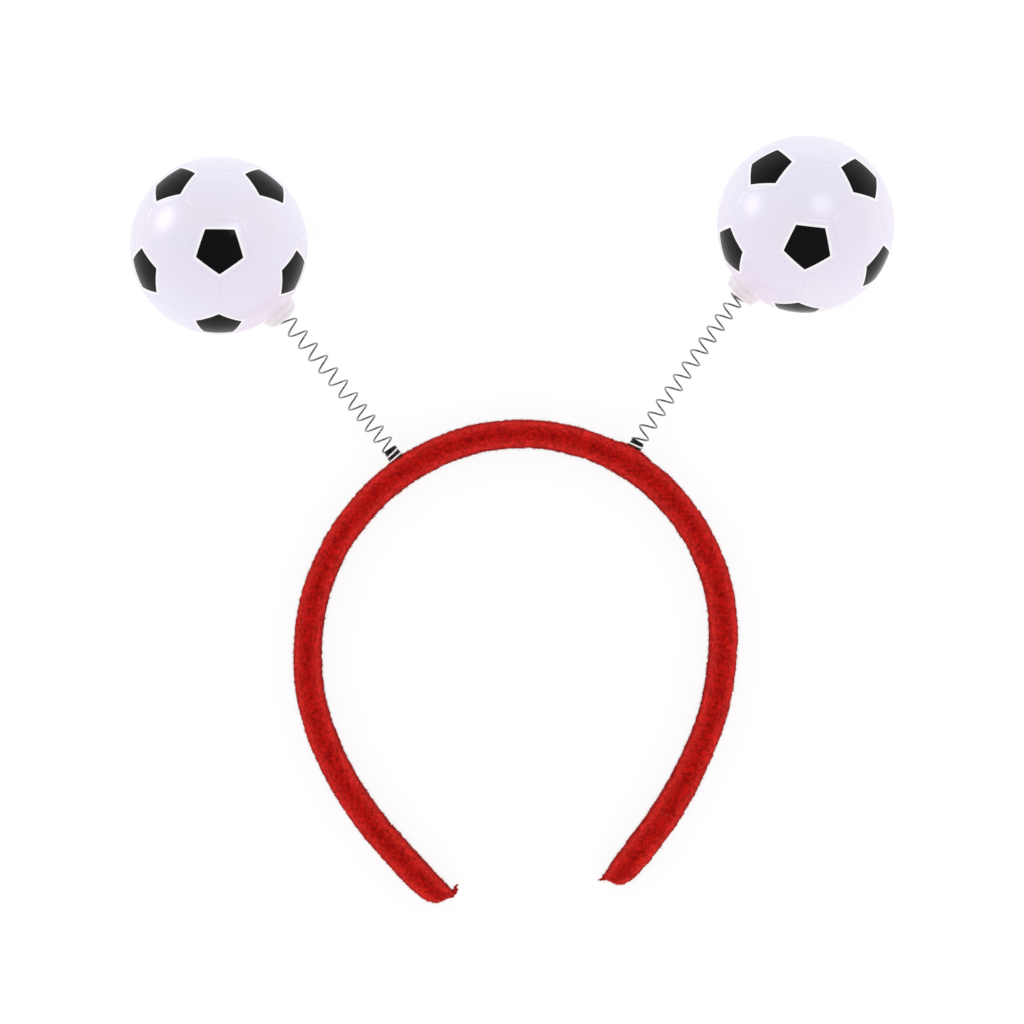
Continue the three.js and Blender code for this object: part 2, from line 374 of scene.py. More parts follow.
class NodeSheet:
    """A node tree that is laid out with short calls."""

    def __init__(self, tree: bpy.types.NodeTree) -> None:
        """Keeps the tree that the calls work on."""
        self.tree = tree

    def add(self, kind: str, sockets: Optional[dict] = None, **settings: object) -> bpy.types.Node:
        """Adds a node.

        Args:
            kind: The node's type.
            sockets: For an input's name or number, its value or the output that feeds it.
            settings: The node's own settings.

        Returns:
            The new node.
        """
        node = self.tree.nodes.new(kind)
        for name, value in settings.items():
            setattr(node, name, value)
        for name, value in (sockets or {}).items():
            self.feed(node.inputs[name], value)
        return node

    def feed(self, socket: Socket, value: object) -> None:
        """Gives an input its value, or links it to an output.

        Args:
            socket: The input.
            value: Its value, or the output that feeds it.
        """
        if isinstance(value, Socket):
            self.tree.links.new(value, socket)
        elif socket.type == "RGBA":
            socket.default_value = (*value, 1.0)
        else:
            socket.default_value = value

    def blend(self, share: Socket, first: object, second: object) -> Socket:
        """Blends two colours, or the outputs that give them, by the share of the second."""
        sockets = dict(zip(MIX_INPUTS, (share, first, second)))
        return self.add("ShaderNodeMix", sockets, data_type="RGBA").outputs[MIX_RESULT]

    def range(self, value: Socket, source: Flat, target: Flat = (0.0, 1.0)) -> Socket:
        """Maps a value from one range to another and holds it there."""
        sockets = dict(zip(("Value", "From Min", "From Max", "To Min", "To Max"), (value, *source, *target)))
        return self.add("ShaderNodeMapRange", sockets).outputs["Result"]

    def sum(self, first: object, second: object, weight: object) -> Socket:
        """Adds a second value, times a weight, to a first one."""
        sockets = {0: second, 1: weight, 2: first}
        return self.add("ShaderNodeMath", sockets, operation="MULTIPLY_ADD").outputs["Value"]

    def attribute(self, name: str) -> Socket:
        """Gives the number that a piece keeps under a name."""
        return self.add("ShaderNodeAttribute", attribute_name=name).outputs["Fac"]

    def noise(self, place: Socket, noise: Noise, scale: Optional[Socket] = None) -> Socket:
        """Gives a noise at a place, with the material's own scale where it has one."""
        sockets = {"Vector": place, "Scale": scale or noise.scale, "Detail": noise.detail,
                   "Roughness": noise.roughness, "Distortion": noise.distortion}
        return self.add("ShaderNodeTexNoise", sockets).outputs["Fac"]

    def stretch(self, place: Socket, turned: Place, scale: Place) -> Socket:
        """Turns and stretches the places that a pattern is read at."""
        sockets = {"Vector": place, "Rotation": turned, "Scale": scale}
        return self.add("ShaderNodeMapping", sockets).outputs["Vector"]

    def effect(self, group: bpy.types.NodeTree, **numbers: float) -> Sockets:
        """Adds a shared node group that reads the piece's own coordinates, and gives its outputs."""
        place = self.add("ShaderNodeTexCoord").outputs["Object"]
        return self.add("ShaderNodeGroup", {"Place": place, **numbers}, node_tree=group).outputs

    def bump(self, height: Socket, distance: float, strength: float) -> Socket:
        """Turns a height into bumps of the surface."""
        sockets = {"Height": height, "Distance": distance, "Strength": strength}
        return self.add("ShaderNodeBump", sockets).outputs["Normal"]

    def surface(self, sockets: dict) -> None:
        """Ends a material with a Principled shader that has these values and outputs."""
        shader = self.add("ShaderNodeBsdfPrincipled", sockets)
        self.add("ShaderNodeOutputMaterial", {"Surface": shader.outputs["BSDF"]})


def start_group(
    name: str, numbers: tuple[str, ...], outputs: tuple[str, ...]
) -> tuple[NodeSheet, Sockets, Sockets]:
    """Makes a shader node group that takes a place.

    Args:
        name: The group's name.
        numbers: The names of the numbers that it takes as well.
        outputs: The names of its outputs, each a number.

    Returns:
        Its sheet, what comes in, and what goes out.
    """
    group = bpy.data.node_groups.new(name, "ShaderNodeTree")
    group.interface.new_socket("Place", in_out="INPUT", socket_type="NodeSocketVector")
    for way, labels in (("INPUT", numbers), ("OUTPUT", outputs)):
        for label in labels:
            group.interface.new_socket(label, in_out=way, socket_type="NodeSocketFloat")
    sheet = NodeSheet(group)
    return sheet, sheet.add("NodeGroupInput").outputs, sheet.add("NodeGroupOutput").inputs


def start_material(name: str) -> tuple[Material, NodeSheet]:
    """Makes a material that has no nodes yet.

    Args:
        name: The material's name.

    Returns:
        The material and its node sheet.
    """
    material = bpy.data.materials.new(name)
    material.use_nodes = True
    material.node_tree.nodes.clear()
    return material, NodeSheet(material.node_tree)


@dataclass
class SurfaceEffects:
    """The shader node groups that several materials share."""

    clumps: Noise = Noise(900.0, 4.0, 0.62)  # The clumps of brushed felt.
    patches: Noise = Noise(290.0, 2.0)  # Its slower changes.
    hairs: Noise = Noise(2200.0, 3.0, 0.7, 0.6)
    # How these hairs are turned and stretched.
    hair_lie: tuple[Place, Place] = ((0.0, 0.0, 0.8), (1.0, 3.2, 2.0))
    hair_weights: Flat = (0.35, 0.5)  # How much the patches and the hairs add to the clumps.
    mask_range: Flat = (0.7, 1.15)  # The sums between which the mask rises.
    clump_height: float = 0.8  # How much the clumps add to the hairs' height.
    tone: Noise = Noise(38.0, 2.0)  # The slow tones of moulded plastic, ink and drawn wire.
    marks: Noise = Noise(None, 5.0, 0.65)  # The fine handling marks on them.
    # How these marks are turned and stretched.
    mark_lie: tuple[Place, Place] = ((0.4, 0.3, 0.7), (1.0, 6.0, 2.5))
    ripple: Noise = Noise(110.0, 1.0)  # The ripples of their skin.
    tone_range: Flat = (0.3, 0.7)  # The values between which the tones change.
    mark_range: Flat = (0.35, 0.75)  # The values between which the marks do.

    def __post_init__(self) -> None:
        """Builds each group once."""
        self.fleece = self._fleece()
        self.moulded = self._moulded()

    def _fleece(self) -> bpy.types.NodeTree:
        """Builds the clumps and fine hairs of brushed felt.

        Returns:
            A group that puts out a mask of clumps and the height of hairs.
        """
        sheet, inlet, outlet = start_group("brushed_fleece", (), ("Mask", "Height"))
        place = inlet["Place"]
        clumps = sheet.noise(place, self.clumps)
        hairs = sheet.noise(sheet.stretch(place, *self.hair_lie), self.hairs)
        mixed = clumps
        for part, weight in zip((sheet.noise(place, self.patches), hairs), self.hair_weights):
            mixed = sheet.sum(mixed, part, weight)
        sheet.feed(outlet["Mask"], sheet.range(mixed, self.mask_range))
        sheet.feed(outlet["Height"], sheet.sum(hairs, clumps, self.clump_height))
        return sheet.tree

    def _moulded(self) -> bpy.types.NodeTree:
        """Builds the slight unevenness of moulded plastic, ink and drawn wire.

        Returns:
            A group that puts out slow tones, fine handling marks and the height of ripples.
        """
        sheet, inlet, outlet = start_group("moulded_skin", ("Fineness",), ("Tone", "Marks", "Height"))
        place = inlet["Place"]
        marks = sheet.noise(sheet.stretch(place, *self.mark_lie), self.marks, inlet["Fineness"])
        sheet.feed(outlet["Tone"], sheet.range(sheet.noise(place, self.tone), self.tone_range))
        sheet.feed(outlet["Marks"], sheet.range(marks, self.mark_range))
        sheet.feed(outlet["Height"], sheet.noise(place, self.ripple))
        return sheet.tree


@dataclass(frozen=True)
class FeltReds:
    """The reds of brushed felt, with painted rim light on its sides and painted shade where they turn under."""

    deep: Colour  # The red in the hollows between the hairs: the dark end of the random mottle, partly painted shade.
    bright: Colour  # The red where hairs lie on top: the light end of the mottle, partly painted light.
    rim_lit_deep: Colour  # The red in the hollows on the sides of the band, lightened as painted rim light.
    rim_lit_bright: Colour  # The red where hairs lie on top there, lightened as painted rim light.
    edge: Colour  # Painted shade: the dark red where the sides turn under.

    def mix(self, sheet: NodeSheet, raised: Socket) -> Socket:
        """Mixes the reds by how far the felt turns from its top, painting light on its sides and shade
        underneath.

        Args:
            sheet: The nodes of the material.
            raised: How much a place lies on top of the hairs.

        Returns:
            The output that gives the colour.
        """
        # The attribute paints rim light on the sides, from 0 to 1, and shade where they turn under, from 1 to 2.
        turned = sheet.attribute("flank")
        top = sheet.blend(raised, self.deep, self.bright)
        side = sheet.blend(raised, self.rim_lit_deep, self.rim_lit_bright)
        # Painted shade where the sides turn under.
        under = sheet.blend(raised, self.edge, self.rim_lit_deep)
        shown = sheet.blend(sheet.range(turned, (0.0, 1.0)), top, side)
        return sheet.blend(sheet.range(turned, (1.0, 2.0)), shown, under)


@dataclass(frozen=True)
class FeltFinish:
    """Brushed red felt, or the loose hairs that stand on it."""

    name: str
    reds: FeltReds
    roughness: float
    sheen: Flat  # How much light the fuzz catches at its edges, and how softly.
    sheen_tint: Colour  # The colour of that light.
    gloss: float = 0.05  # How strongly it mirrors.
    hair: Flat = (0.25 * MM, 0.8)  # How far the hairs stand out in the bump, and how strongly it shows.
    clumped: float = 1.6  # How much the felt's clumps count in the shades of loose hairs.
    pale: Optional[Colour] = None  # The colour of the few pale ones among loose hairs. Felt has none.

    def make(self, effects: SurfaceEffects) -> Material:
        """Builds the material.

        Args:
            effects: The shared node groups.

        Returns:
            The material.
        """
        material, sheet = start_material(self.name)
        fleece = sheet.effect(effects.fleece)
        sockets = {
            "Roughness": self.roughness,
            "Specular IOR Level": self.gloss,
            "Sheen Weight": self.sheen[0],
            "Sheen Roughness": self.sheen[1],
            "Sheen Tint": self.sheen_tint,
        }
        if self.pale:
            shade = sheet.attribute("shade")
            mixed = sheet.sum(shade, fleece["Mask"], self.clumped)
            reds = self.reds.mix(sheet, sheet.range(mixed, (0.0, 1.0 + self.clumped)))
            sockets["Base Color"] = sheet.blend(sheet.range(shade, (1.0, PALE_SHADE)), reds, self.pale)
        else:
            sockets["Base Color"] = self.reds.mix(sheet, fleece["Mask"])
            sockets["Normal"] = sheet.bump(fleece["Height"], *self.hair)
        sheet.surface(sockets)
        return material


@dataclass(frozen=True)
class PlasticFinish:
    """A moulded plastic, an ink on it, or bare metal, with colours as a screen shows them."""

    name: str
    colour: Shown
    tinted: Shown  # The colour that its slow tones drift to.
    roughness: Flat  # The roughness where it is untouched and where it is handled.
    fineness: float = 700.0  # How many handling marks there are in a metre.
    ripple: float = 0.02 * MM  # How far its skin is from even.
    gloss: float = 0.5  # How strongly it mirrors.
    metallic: float = 0.0  # Whether it is metal, 0 or 1.
    glow: float = 0.0  # How much light passes under its surface.
    reach: float = 1.0 * MM  # How far that light goes.
    # Its colour where the attribute pale is 1, if it has such places. They are not metal. On the spring wire it
    # is a painted highlight on the turns wound on the stud.
    pale: Optional[Shown] = None
    blush: Optional[Shown] = None  # Its colour where a painted pink reflection of the red felt is full, if it has such places.

    def make(self, effects: SurfaceEffects) -> Material:
        """Builds the material.

        Args:
            effects: The shared node groups.

        Returns:
            The material.
        """
        material, sheet = start_material(self.name)
        skin = sheet.effect(effects.moulded, Fineness=self.fineness)
        colour = sheet.blend(skin["Tone"], screen_colour(*self.colour), screen_colour(*self.tinted))
        metallic = self.metallic
        # A painted pink reflection of the red felt.
        if self.blush:
            colour = sheet.blend(sheet.attribute("blush"), colour, screen_colour(*self.blush))
        # On the spring wire the pale colour is a painted highlight on the turns wound on the stud.
        if self.pale:
            pale = sheet.attribute("pale")
            colour = sheet.blend(pale, colour, screen_colour(*self.pale))
            metallic = sheet.range(pale, (0.0, 1.0), (self.metallic, 0.0))
        sheet.surface({
            "Base Color": colour,
            "Metallic": metallic,
            "Roughness": sheet.range(skin["Marks"], (0.0, 1.0), self.roughness),
            "Specular IOR Level": self.gloss,
            "Subsurface Weight": self.glow,
            "Subsurface Radius": WHITE,
            "Subsurface Scale": self.reach,
            "Normal": sheet.bump(skin["Height"], self.ripple, 1.0),
        })
        return material


class Finishes:
    """Every material of the headband, made once."""

    def __init__(self) -> None:
        """Builds the materials from their finishes."""
        effects = SurfaceEffects()
        self.felt = FeltFinish(
            "red_felt",
            FeltReds(
                deep=(0.21, 0.0015, 0.001),
                bright=(0.74, 0.01, 0.007),
                # Painted rim light on the sides, and painted shade where they turn under.
                rim_lit_deep=(0.36, 0.008, 0.006),
                rim_lit_bright=(1.0, 0.036, 0.028),
                edge=(0.2, 0.004, 0.005),
            ),
            roughness=0.95,
            sheen=(0.6, 0.45),
            sheen_tint=(1.0, 0.1, 0.09),
        ).make(effects)
        self.pile = FeltFinish(
            "red_pile",
            FeltReds(
                deep=(0.24, 0.0015, 0.001),
                bright=(0.82, 0.011, 0.008),
                # Painted rim light on the sides, and painted shade where they turn under.
                rim_lit_deep=(0.4, 0.01, 0.008),
                rim_lit_bright=(1.0, 0.042, 0.033),
                edge=(0.34, 0.011, 0.011),
            ),
            roughness=0.85,
            sheen=(0.4, 0.5),
            sheen_tint=(1.0, 0.14, 0.12),
            pale=(0.95, 0.2, 0.17),
        ).make(effects)
        plastics = (
            # The white plastic's pink near the neck is a painted reflection of the red felt.
            PlasticFinish("white_plastic", (237, 235, 251), (240, 235, 247), (0.22, 0.32),
                          ripple=0.004 * MM, pale=(255, 254, 255), blush=(238, 222, 238)),
            PlasticFinish("black_ink", (17, 16, 17), (22, 21, 24), (0.1, 0.2), ripple=0.004 * MM,
                          gloss=0.08),
            PlasticFinish("milky_plastic", (246, 240, 243), (248, 242, 246), (0.3, 0.45), glow=0.6,
                          reach=1.6 * MM),
            # The spring wire's pale colour is a painted highlight on the turns wound on the stud.
            PlasticFinish("spring_wire", (136, 136, 139), (162, 162, 165), (0.14, 0.26), fineness=2500.0,
                          ripple=0.005 * MM, metallic=1.0, pale=(248, 248, 250)),
            PlasticFinish("black_plastic", (14, 13, 14), (22, 20, 21), (0.35, 0.5), gloss=0.35),
        )
        made = [finish.make(effects) for finish in plastics]
        self.white, self.ink, self.milky, self.wire, self.stud = made


@dataclass(frozen=True)
class Leg:
    """How one leg of the hoop leaves its round and ends."""

    leaves: float  # The angle at which it leaves the round, in degrees.
    turn: int  # 1 where it runs on counter-clockwise, -1 where it runs clockwise.
    leave_pull: float  # How far it runs straight on from there.
    tip: Flat  # Where it ends, from the hoop's centre.
    heads: float  # The direction in which its tip points, in degrees.
    tip_pull: float  # How far it runs straight before its tip.


@dataclass(frozen=True)
class Strand:
    """A frayed strand or a rolled edge of felt at a tip, in millimetres."""

    side: Side  # The tip that it is on.
    points: tuple[Place, ...]  # Its places: back from the tip, out from the middle line, and up.
    thick: tuple[float, ...]  # Its radius at each place.


@dataclass(frozen=True)
class StalkSize:
    """The sizes of one spring with its stud and its football."""

    stud_angle: float  # The angle on the hoop at which the stud stands, in degrees.
    stud_rise: float  # How far the stud stands out of the felt.
    mound: float  # How far the felt swells up round the stud.
    neck_heads: float  # The level direction in which the ball's neck points, in degrees.
    wire_heads: float  # The level direction in which the spring leaves the neck, in degrees.
    turned: Place  # How the ball's panels are turned about X, Y and Z, in degrees.
    print_shift: Flat  # How far the ink misses the ball's seams.
    coil_radius: float  # From the spring's axis to the middle of its wire, past the stud.
    phase: float  # The angle of the wire where its turns are counted from, in degrees.
    # The distances from the felt, in millimetres, and the turns that the spring has made there, counted
    # from the top of the stud.
    turn_rows: tuple[Flat, ...]


STALKS = {
    Side.LEFT: StalkSize(
        stud_angle=124.0,
        stud_rise=3.36 * MM,
        mound=0.0,
        neck_heads=-47.9,
        wire_heads=-47.9,
        turned=(5.0, 4.6, 53.1),
        print_shift=(0.0, -0.65 * MM),
        coil_radius=2.62 * MM,
        phase=138.5,
        turn_rows=((-0.65, -2.0), (1.54, -0.635), (3.2, 0.0), (21.4, 4.17), (57.5, 11.23), (59.7, 12.23)),
    ),
    Side.RIGHT: StalkSize(
        stud_angle=58.8,
        stud_rise=3.9 * MM,
        mound=1.1 * MM,
        neck_heads=-133.7,
        wire_heads=-125.5,
        turned=(17.7, -2.1, 47.7),
        print_shift=(-0.15 * MM, -0.3 * MM),
        coil_radius=2.4 * MM,
        phase=212.0,
        turn_rows=((0.0, -2.0), (2.2, -0.839), (3.9, 0.0), (38.6, 7.19), (57.7, 11.41), (59.6, 11.9),
                   (59.95, 12.4), (60.6, 12.9), (62.9, 14.1)),
    ),
}


@dataclass
class FeltBand:
    """The padded felt hoop, with the frayed ends of its tips."""

    hoop_radius: float = 65.0 * MM  # From the hoop's centre to the felt's middle line.
    width: float = 8.8 * MM  # The felt's width, seen from above.
    height: float = 11.2 * MM  # The felt's height before it lies on a surface.
    pressed: float = 0.8 * MM  # How far it is pressed flat underneath.
    sides: int = 24  # The corners of a section before it is subdivided.
    step: float = 2.1 * MM  # The distance between two sections before they are subdivided.
    levels: int = 2  # How often the felt is subdivided.
    # How many points the middle line has on the hoop's round and on a leg.
    line_points: tuple[int, int] = (600, 300)
    mound_spread: float = 4.2 * MM  # How far the swelling round a stud reaches.
    mound_power: int = 4  # How suddenly it falls off there.
    stud_level: float = 4.8 * MM  # How high the studs stand above the surface that the felt lies on.
    rim_light_reach: float = 0.4  # How far the felt has to turn from the top to take the full painted rim light of its side.
    under_shade_reach: Flat = (0.5, 0.85)  # How far it has turned where it starts and ends to turn under, and to take painted shade.
    slant_reach: float = 5.0 * MM  # How far from a tip its slanted cut starts.
    # Where the slant starts, as a share of the way from the middle line to the inner face.
    slant_from: float = 0.2
    # How far the left and the right tip's inner corner is moved along the middle line.
    slants: Flat = (-1.1 * MM, 0.4 * MM)
    left: Leg = Leg(161.0, 1, 52.0 * MM, (-24.2 * MM, -83.2 * MM), -48.5, 37.0 * MM)
    right: Leg = Leg(0.0, -1, 34.0 * MM, (30.8 * MM, -77.5 * MM), -121.0, 21.0 * MM)
    # Angles about the hoop's centre in degrees, and how far the hand-bent felt lies further out and is
    # wider there, in millimetres.
    bends: tuple[Place, ...] = (
        (-68.0, -0.2, 0.4), (-50.0, 0.7, 0.65), (-28.0, 0.2, 0.15), (-6.0, -0.3, 0.2),
        (22.0, 0.35, 0.2), (48.0, 0.6, 0.6), (78.0, 0.2, -0.05), (98.0, -0.15, 0.15),
        (120.0, -0.65, 0.35), (143.0, -0.6, -0.1), (155.0, -0.05, -0.45), (168.0, 0.5, -0.15),
        (190.0, 0.05, 0.05), (210.0, -0.2, 0.3), (230.0, 0.2, 0.45), (254.0, -0.35, 0.4),
    )
    # Distances from a tip in millimetres, and the shares of the felt's width and height.
    tip_rows: tuple[Place, ...] = (
        (0.0, 0.46, 0.48), (0.35, 0.56, 0.59), (0.7, 0.63, 0.67), (1.2, 0.71, 0.75), (1.8, 0.77, 0.81),
        (3.0, 0.84, 0.88), (4.6, 0.90, 0.93), (6.4, 0.94, 0.96), (8.5, 0.97, 0.98), (12.5, 1.0, 1.0),
    )
    # The rolled edges and frayed strands at the tips.
    strands: tuple[Strand, ...] = (
        Strand(Side.LEFT, ((2.3, 1.0, 2.6), (1.0, -0.9, 3.2), (-0.2, -2.8, 3.3), (-1.0, -4.1, 2.9)),
               (0.5, 0.75, 0.8, 0.7)),
        Strand(Side.LEFT, ((0.6, -3.6, 3.2), (-0.9, -4.5, 2.9), (-0.5, -5.5, 2.5), (0.3, -5.8, 2.3)),
               (1.15, 1.05, 0.85, 0.5)),
        Strand(Side.LEFT, ((-0.2, -5.3, 2.5), (0.4, -5.8, 2.4), (0.8, -6.5, 2.5), (0.4, -7.5, 2.8)),
               (0.6, 0.5, 0.36, 0.16)),
        Strand(Side.RIGHT, ((4.6, 2.3, 2.9), (1.9, 1.0, 3.0), (0.7, -1.2, 3.1), (0.1, -3.2, 2.8)),
               (0.4, 0.55, 0.65, 0.6)),
        Strand(Side.RIGHT, ((1.2, -3.0, 3.0), (-0.3, -3.9, 2.5), (-1.1, -4.6, 2.1), (-1.9, -5.2, 1.9)),
               (1.1, 0.75, 0.5, 0.12)),
        Strand(Side.RIGHT, ((-0.4, -4.1, 2.3), (-1.3, -4.3, 2.2), (-2.0, -4.7, 2.3), (-2.1, -5.1, 2.6)),
               (0.35, 0.25, 0.18, 0.08)),
    )
    # The name of each unevenness, the size of its lumps and the height from low to high.
    lumps: tuple[tuple[str, float, float], ...] = (
        ("felt_lumps", 4.5 * MM, 0.35 * MM),
        ("felt_tufts", 1.3 * MM, 0.9 * MM),
    )
    strand_roundness: int = 4  # How finely a strand's section is rounded.
    sharp: float = 180.0  # The angle from which its edges are sharp, in degrees, so that none is.
    fill: float = 0.9  # How full the felt is padded.

    def __post_init__(self) -> None:
        """Finds the hoop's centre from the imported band, and its middle line."""
        self.outer = self.hoop_radius + self.width / 2
        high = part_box("band")[1]
        self.centre = np.array([high.x - self.outer, high.y - self.outer])
        self.tips = np.array(self.tip_rows) * (MM, 1.0, 1.0)
        self.line = MeasuredPath(self._middle_line())

    def _middle_line(self) -> Rows:
        """Works out the hoop's middle line.

        Returns:
            Points from the left tip over the crown to the right tip, seen from above.
        """
        angles = np.radians(np.linspace(self.left.leaves, self.right.leaves, self.line_points[0])[1:-1])
        crown = self.hoop_radius * np.stack([np.cos(angles), np.sin(angles)], axis=1)
        points = np.concatenate([self._leg_points(self.left)[::-1], crown, self._leg_points(self.right)])
        shift, self.wider = self._bend(points)
        return points + shift[:, None] * unit_rows(points) + self.centre

    def _bend(self, points: Rows) -> tuple[Rows, Rows]:
        """Works out how far the hand-bent hoop strays from its round and its width.

        Args:
            points: Points of the middle line, from the hoop's centre.

        Returns:
            For each point, how far the felt lies further out and how much wider it is.
        """
        angles = np.degrees(np.arctan2(points[:, 1], points[:, 0]))
        angles = np.where((angles < 0.0) & (points[:, 0] < 0.0), angles + 360.0, angles)
        rows = np.array(self.bends) * (1.0, MM, MM)
        after = np.clip(np.searchsorted(rows[:, 0], angles), 1, len(rows) - 1)
        before, last = rows[after - 1].T, rows[after].T
        share = smooth_step((angles - before[0]) / (last[0] - before[0]))
        return tuple(before[1:] + (last - before)[1:] * share)

    def _leg_points(self, leg: Leg) -> Rows:
        """Works out one leg of the middle line.

        Args:
            leg: The leg's sizes.

        Returns:
            Points from the hoop's round to the tip, from the hoop's centre.
        """
        shoulder = self.hoop_radius * np.array(heading(leg.leaves).xy)
        leaving = np.array(heading(leg.leaves + 90.0 * leg.turn).xy)
        tip = np.array(leg.tip)
        ending = np.array(heading(leg.heads).xy)
        knots = (shoulder, shoulder + leg.leave_pull * leaving, tip - leg.tip_pull * ending, tip)
        return bezier(knots, self.line_points[1])

    def _stations(self) -> Rows:
        """Works out where the felt has a section.

        Returns:
            Distances along the middle line.
        """
        ends = self.tips[:, 0]
        count = int((self.line.length - 2 * ends[-1]) / self.step)
        middle = np.linspace(ends[-1], self.line.length - ends[-1], count)
        return np.concatenate([ends[:-1], middle, (self.line.length - ends[:-1])[::-1]])

    def stud_foot(self, size: StalkSize) -> tuple[Vector, Vector]:
        """Gives the point of the felt's outer face where a stud stands, and the direction of the stud."""
        outward = heading(size.stud_angle)
        return Vector((*self.centre, self.stud_level)) + outward * self.outer, outward

    def surface(self, around: Rows, along: Rows) -> Rows:
        """Works out points on the felt.

        Args:
            around: Angles round the section, from its outer face upwards.
            along: Distances along the middle line.

        Returns:
            One row for each point.
        """
        middle, ahead = self.line.read(along)
        outward = np.stack([-ahead[:, 1], ahead[:, 0]], axis=1)
        back = np.minimum(along, self.line.length - along)
        rows, widths, heights = self.tips.T
        half_width = self.width / 2 * np.interp(back, rows, widths)
        half_height = self.height / 2 * np.interp(back, rows, heights)
        half_wider = np.interp(along, self.line.distances, self.wider) / 2
        out = half_width - self.width / 2 + (half_width + half_wider) * np.cos(around)
        level = np.maximum(0.0, half_height * (1.0 + np.sin(around)) - self.pressed)
        inner = np.clip(-out / (self.width / 2) - self.slant_from, 0.0, 1.0)
        slant = np.where(along < self.line.length / 2, *self.slants)
        slant = slant * inner * smooth_step(1.0 - back / self.slant_reach)
        flat = middle + outward * out[:, None] + ahead * slant[:, None]
        points = np.concatenate([flat, level[:, None]], axis=1)
        for size in STALKS.values():
            points = self._swell(points, around, size)
        return points

    def _swell(self, points: Rows, around: Rows, size: StalkSize) -> Rows:
        """Raises the felt round a stud.

        Args:
            points: Points on the felt.
            around: Their angles round the section.
            size: The sizes of the stud's spring.

        Returns:
            The points after the felt has swelled.
        """
        foot, outward = (np.array(part) for part in self.stud_foot(size))
        offset = points - foot
        height = offset @ outward
        reach = np.linalg.norm(offset - height[:, None] * outward, axis=1) / self.mound_spread
        facing = (np.cos(around) > 0.0) & (height > -self.hoop_radius)
        rise = size.mound * np.exp(-(reach**self.mound_power)) * facing
        return points + rise[:, None] * outward

    def build(self) -> Piece:
        """Models the felt: a section is extruded along the hoop, shaped, subdivided and frayed.

        Returns:
            The felt hoop.
        """
        stations = self._stations()
        deselect()
        bpy.ops.mesh.primitive_circle_add(vertices=self.sides, radius=self.width / 2, fill_type="NGON")
        band = bpy.context.object
        with editing(band):
            mesh = bmesh.from_edit_mesh(band.data)
            around = mesh.verts.layers.float.new("around")
            along = mesh.verts.layers.float.new("along")
            for vertex in mesh.verts:
                vertex[around] = math.atan2(vertex.co.y, vertex.co.x)
            bmesh.update_edit_mesh(band.data)
            bpy.ops.mesh.select_all(action="SELECT")
            for before, station in zip(stations, stations[1:]):
                step = (0.0, 0.0, station - before)
                bpy.ops.mesh.extrude_region_move(TRANSFORM_OT_translate={"value": step})
                mesh = bmesh.from_edit_mesh(band.data)
                along = mesh.verts.layers.float["along"]
                for vertex in mesh.verts:
                    if vertex.select:
                        vertex[along] = station
        around = read_values(band, "around")
        write_points(band, self.surface(around, read_values(band, "along")))
        keep_values(band, "lean", np.cos(around))
        keep_values(band, "rise", np.sin(around))
        with editing(band):
            bpy.ops.mesh.select_all(action="SELECT")
            bpy.ops.mesh.normals_make_consistent(inside=False)
        apply_modifier(band, "SUBSURF", levels=self.levels, render_levels=self.levels)
        settle(band, "felt_band")
        for strand in self.strands:
            unite(band, self._build_strand(strand))
        smooth(band, self.sharp)
        return band

    def _build_strand(self, strand: Strand) -> Piece:
        """Models a strand at a tip as a tapered wire.

        Args:
            strand: The strand's places and thickness.

        Returns:
            The strand.
        """
        at_left = strand.side is Side.LEFT
        tip, ahead = (rows[0] for rows in self.line.read(np.array([0.0 if at_left else self.line.length])))
        outward = np.array([-ahead[1], ahead[0]])
        behind, out, level = np.array(strand.points).T
        flat = tip + np.outer(behind, ahead if at_left else -ahead) * MM + np.outer(out, outward) * MM
        places = np.column_stack([flat, level * MM])
        return bent_wire("felt_strand", Run.SMOOTH, places, strand.thick, self.strand_roundness)

    def fluff(self, band: Piece) -> None:
        """Makes the felt lumpy, keeps it on the surface that it lies on, and marks where it takes painted rim
        light on its sides and painted shade underneath.

        Args:
            band: The felt hoop.
        """
        for name, spread, height in self.lumps:
            texture = bpy.data.textures.new(name, "CLOUDS")
            texture.noise_scale = spread
            apply_modifier(band, "DISPLACE", texture=texture, strength=height, texture_coords="LOCAL")
        points = read_points(band)
        points[:, 2] = np.maximum(points[:, 2], 0.0)
        write_points(band, points)
        lean, rise = (read_values(band, name) for name in ("lean", "rise"))
        # The strands have no angles, so both are 0 there and not a cosine and a sine.
        frayed = np.hypot(lean, rise) < 0.5
        # The frayed strands take the full painted rim light of the sides.
        keep_values(band, "flank", np.where(frayed, 1.0, self._painted_light_and_shade(lean, rise)))

    def _painted_light_and_shade(self, lean: Rows, rise: Rows) -> Rows:
        """Works out how far the felt turns from its top, which sets its painted rim light and painted shade.

        Args:
            lean: The cosines of the angles round the section, from its outer face upwards.
            rise: The sines of these angles.

        Returns:
            Values from 0 on the top over 1 on the sides, in full painted rim light, to 2 where they turn under,
            in full painted shade.
        """
        outward = lean / self.width
        upward = rise / self.height
        steep = 1.0 - upward / np.maximum(np.hypot(outward, upward), 1.0)
        starts, ends = self.under_shade_reach
        # The painted shade where the sides turn under.
        under = np.clip((steep - starts) / (ends - starts), 0.0, 1.0)
        return np.clip(steep / self.rim_light_reach, 0.0, 1.0) + under

    def dress(self, band: Piece, finishes: Finishes) -> None:
        """Gives the felt its material and its place in the frame.

        Args:
            band: The felt hoop.
            finishes: The headband's materials.
        """
        band.data.materials.append(finishes.felt)
        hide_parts("band")
        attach(band, "hoop")


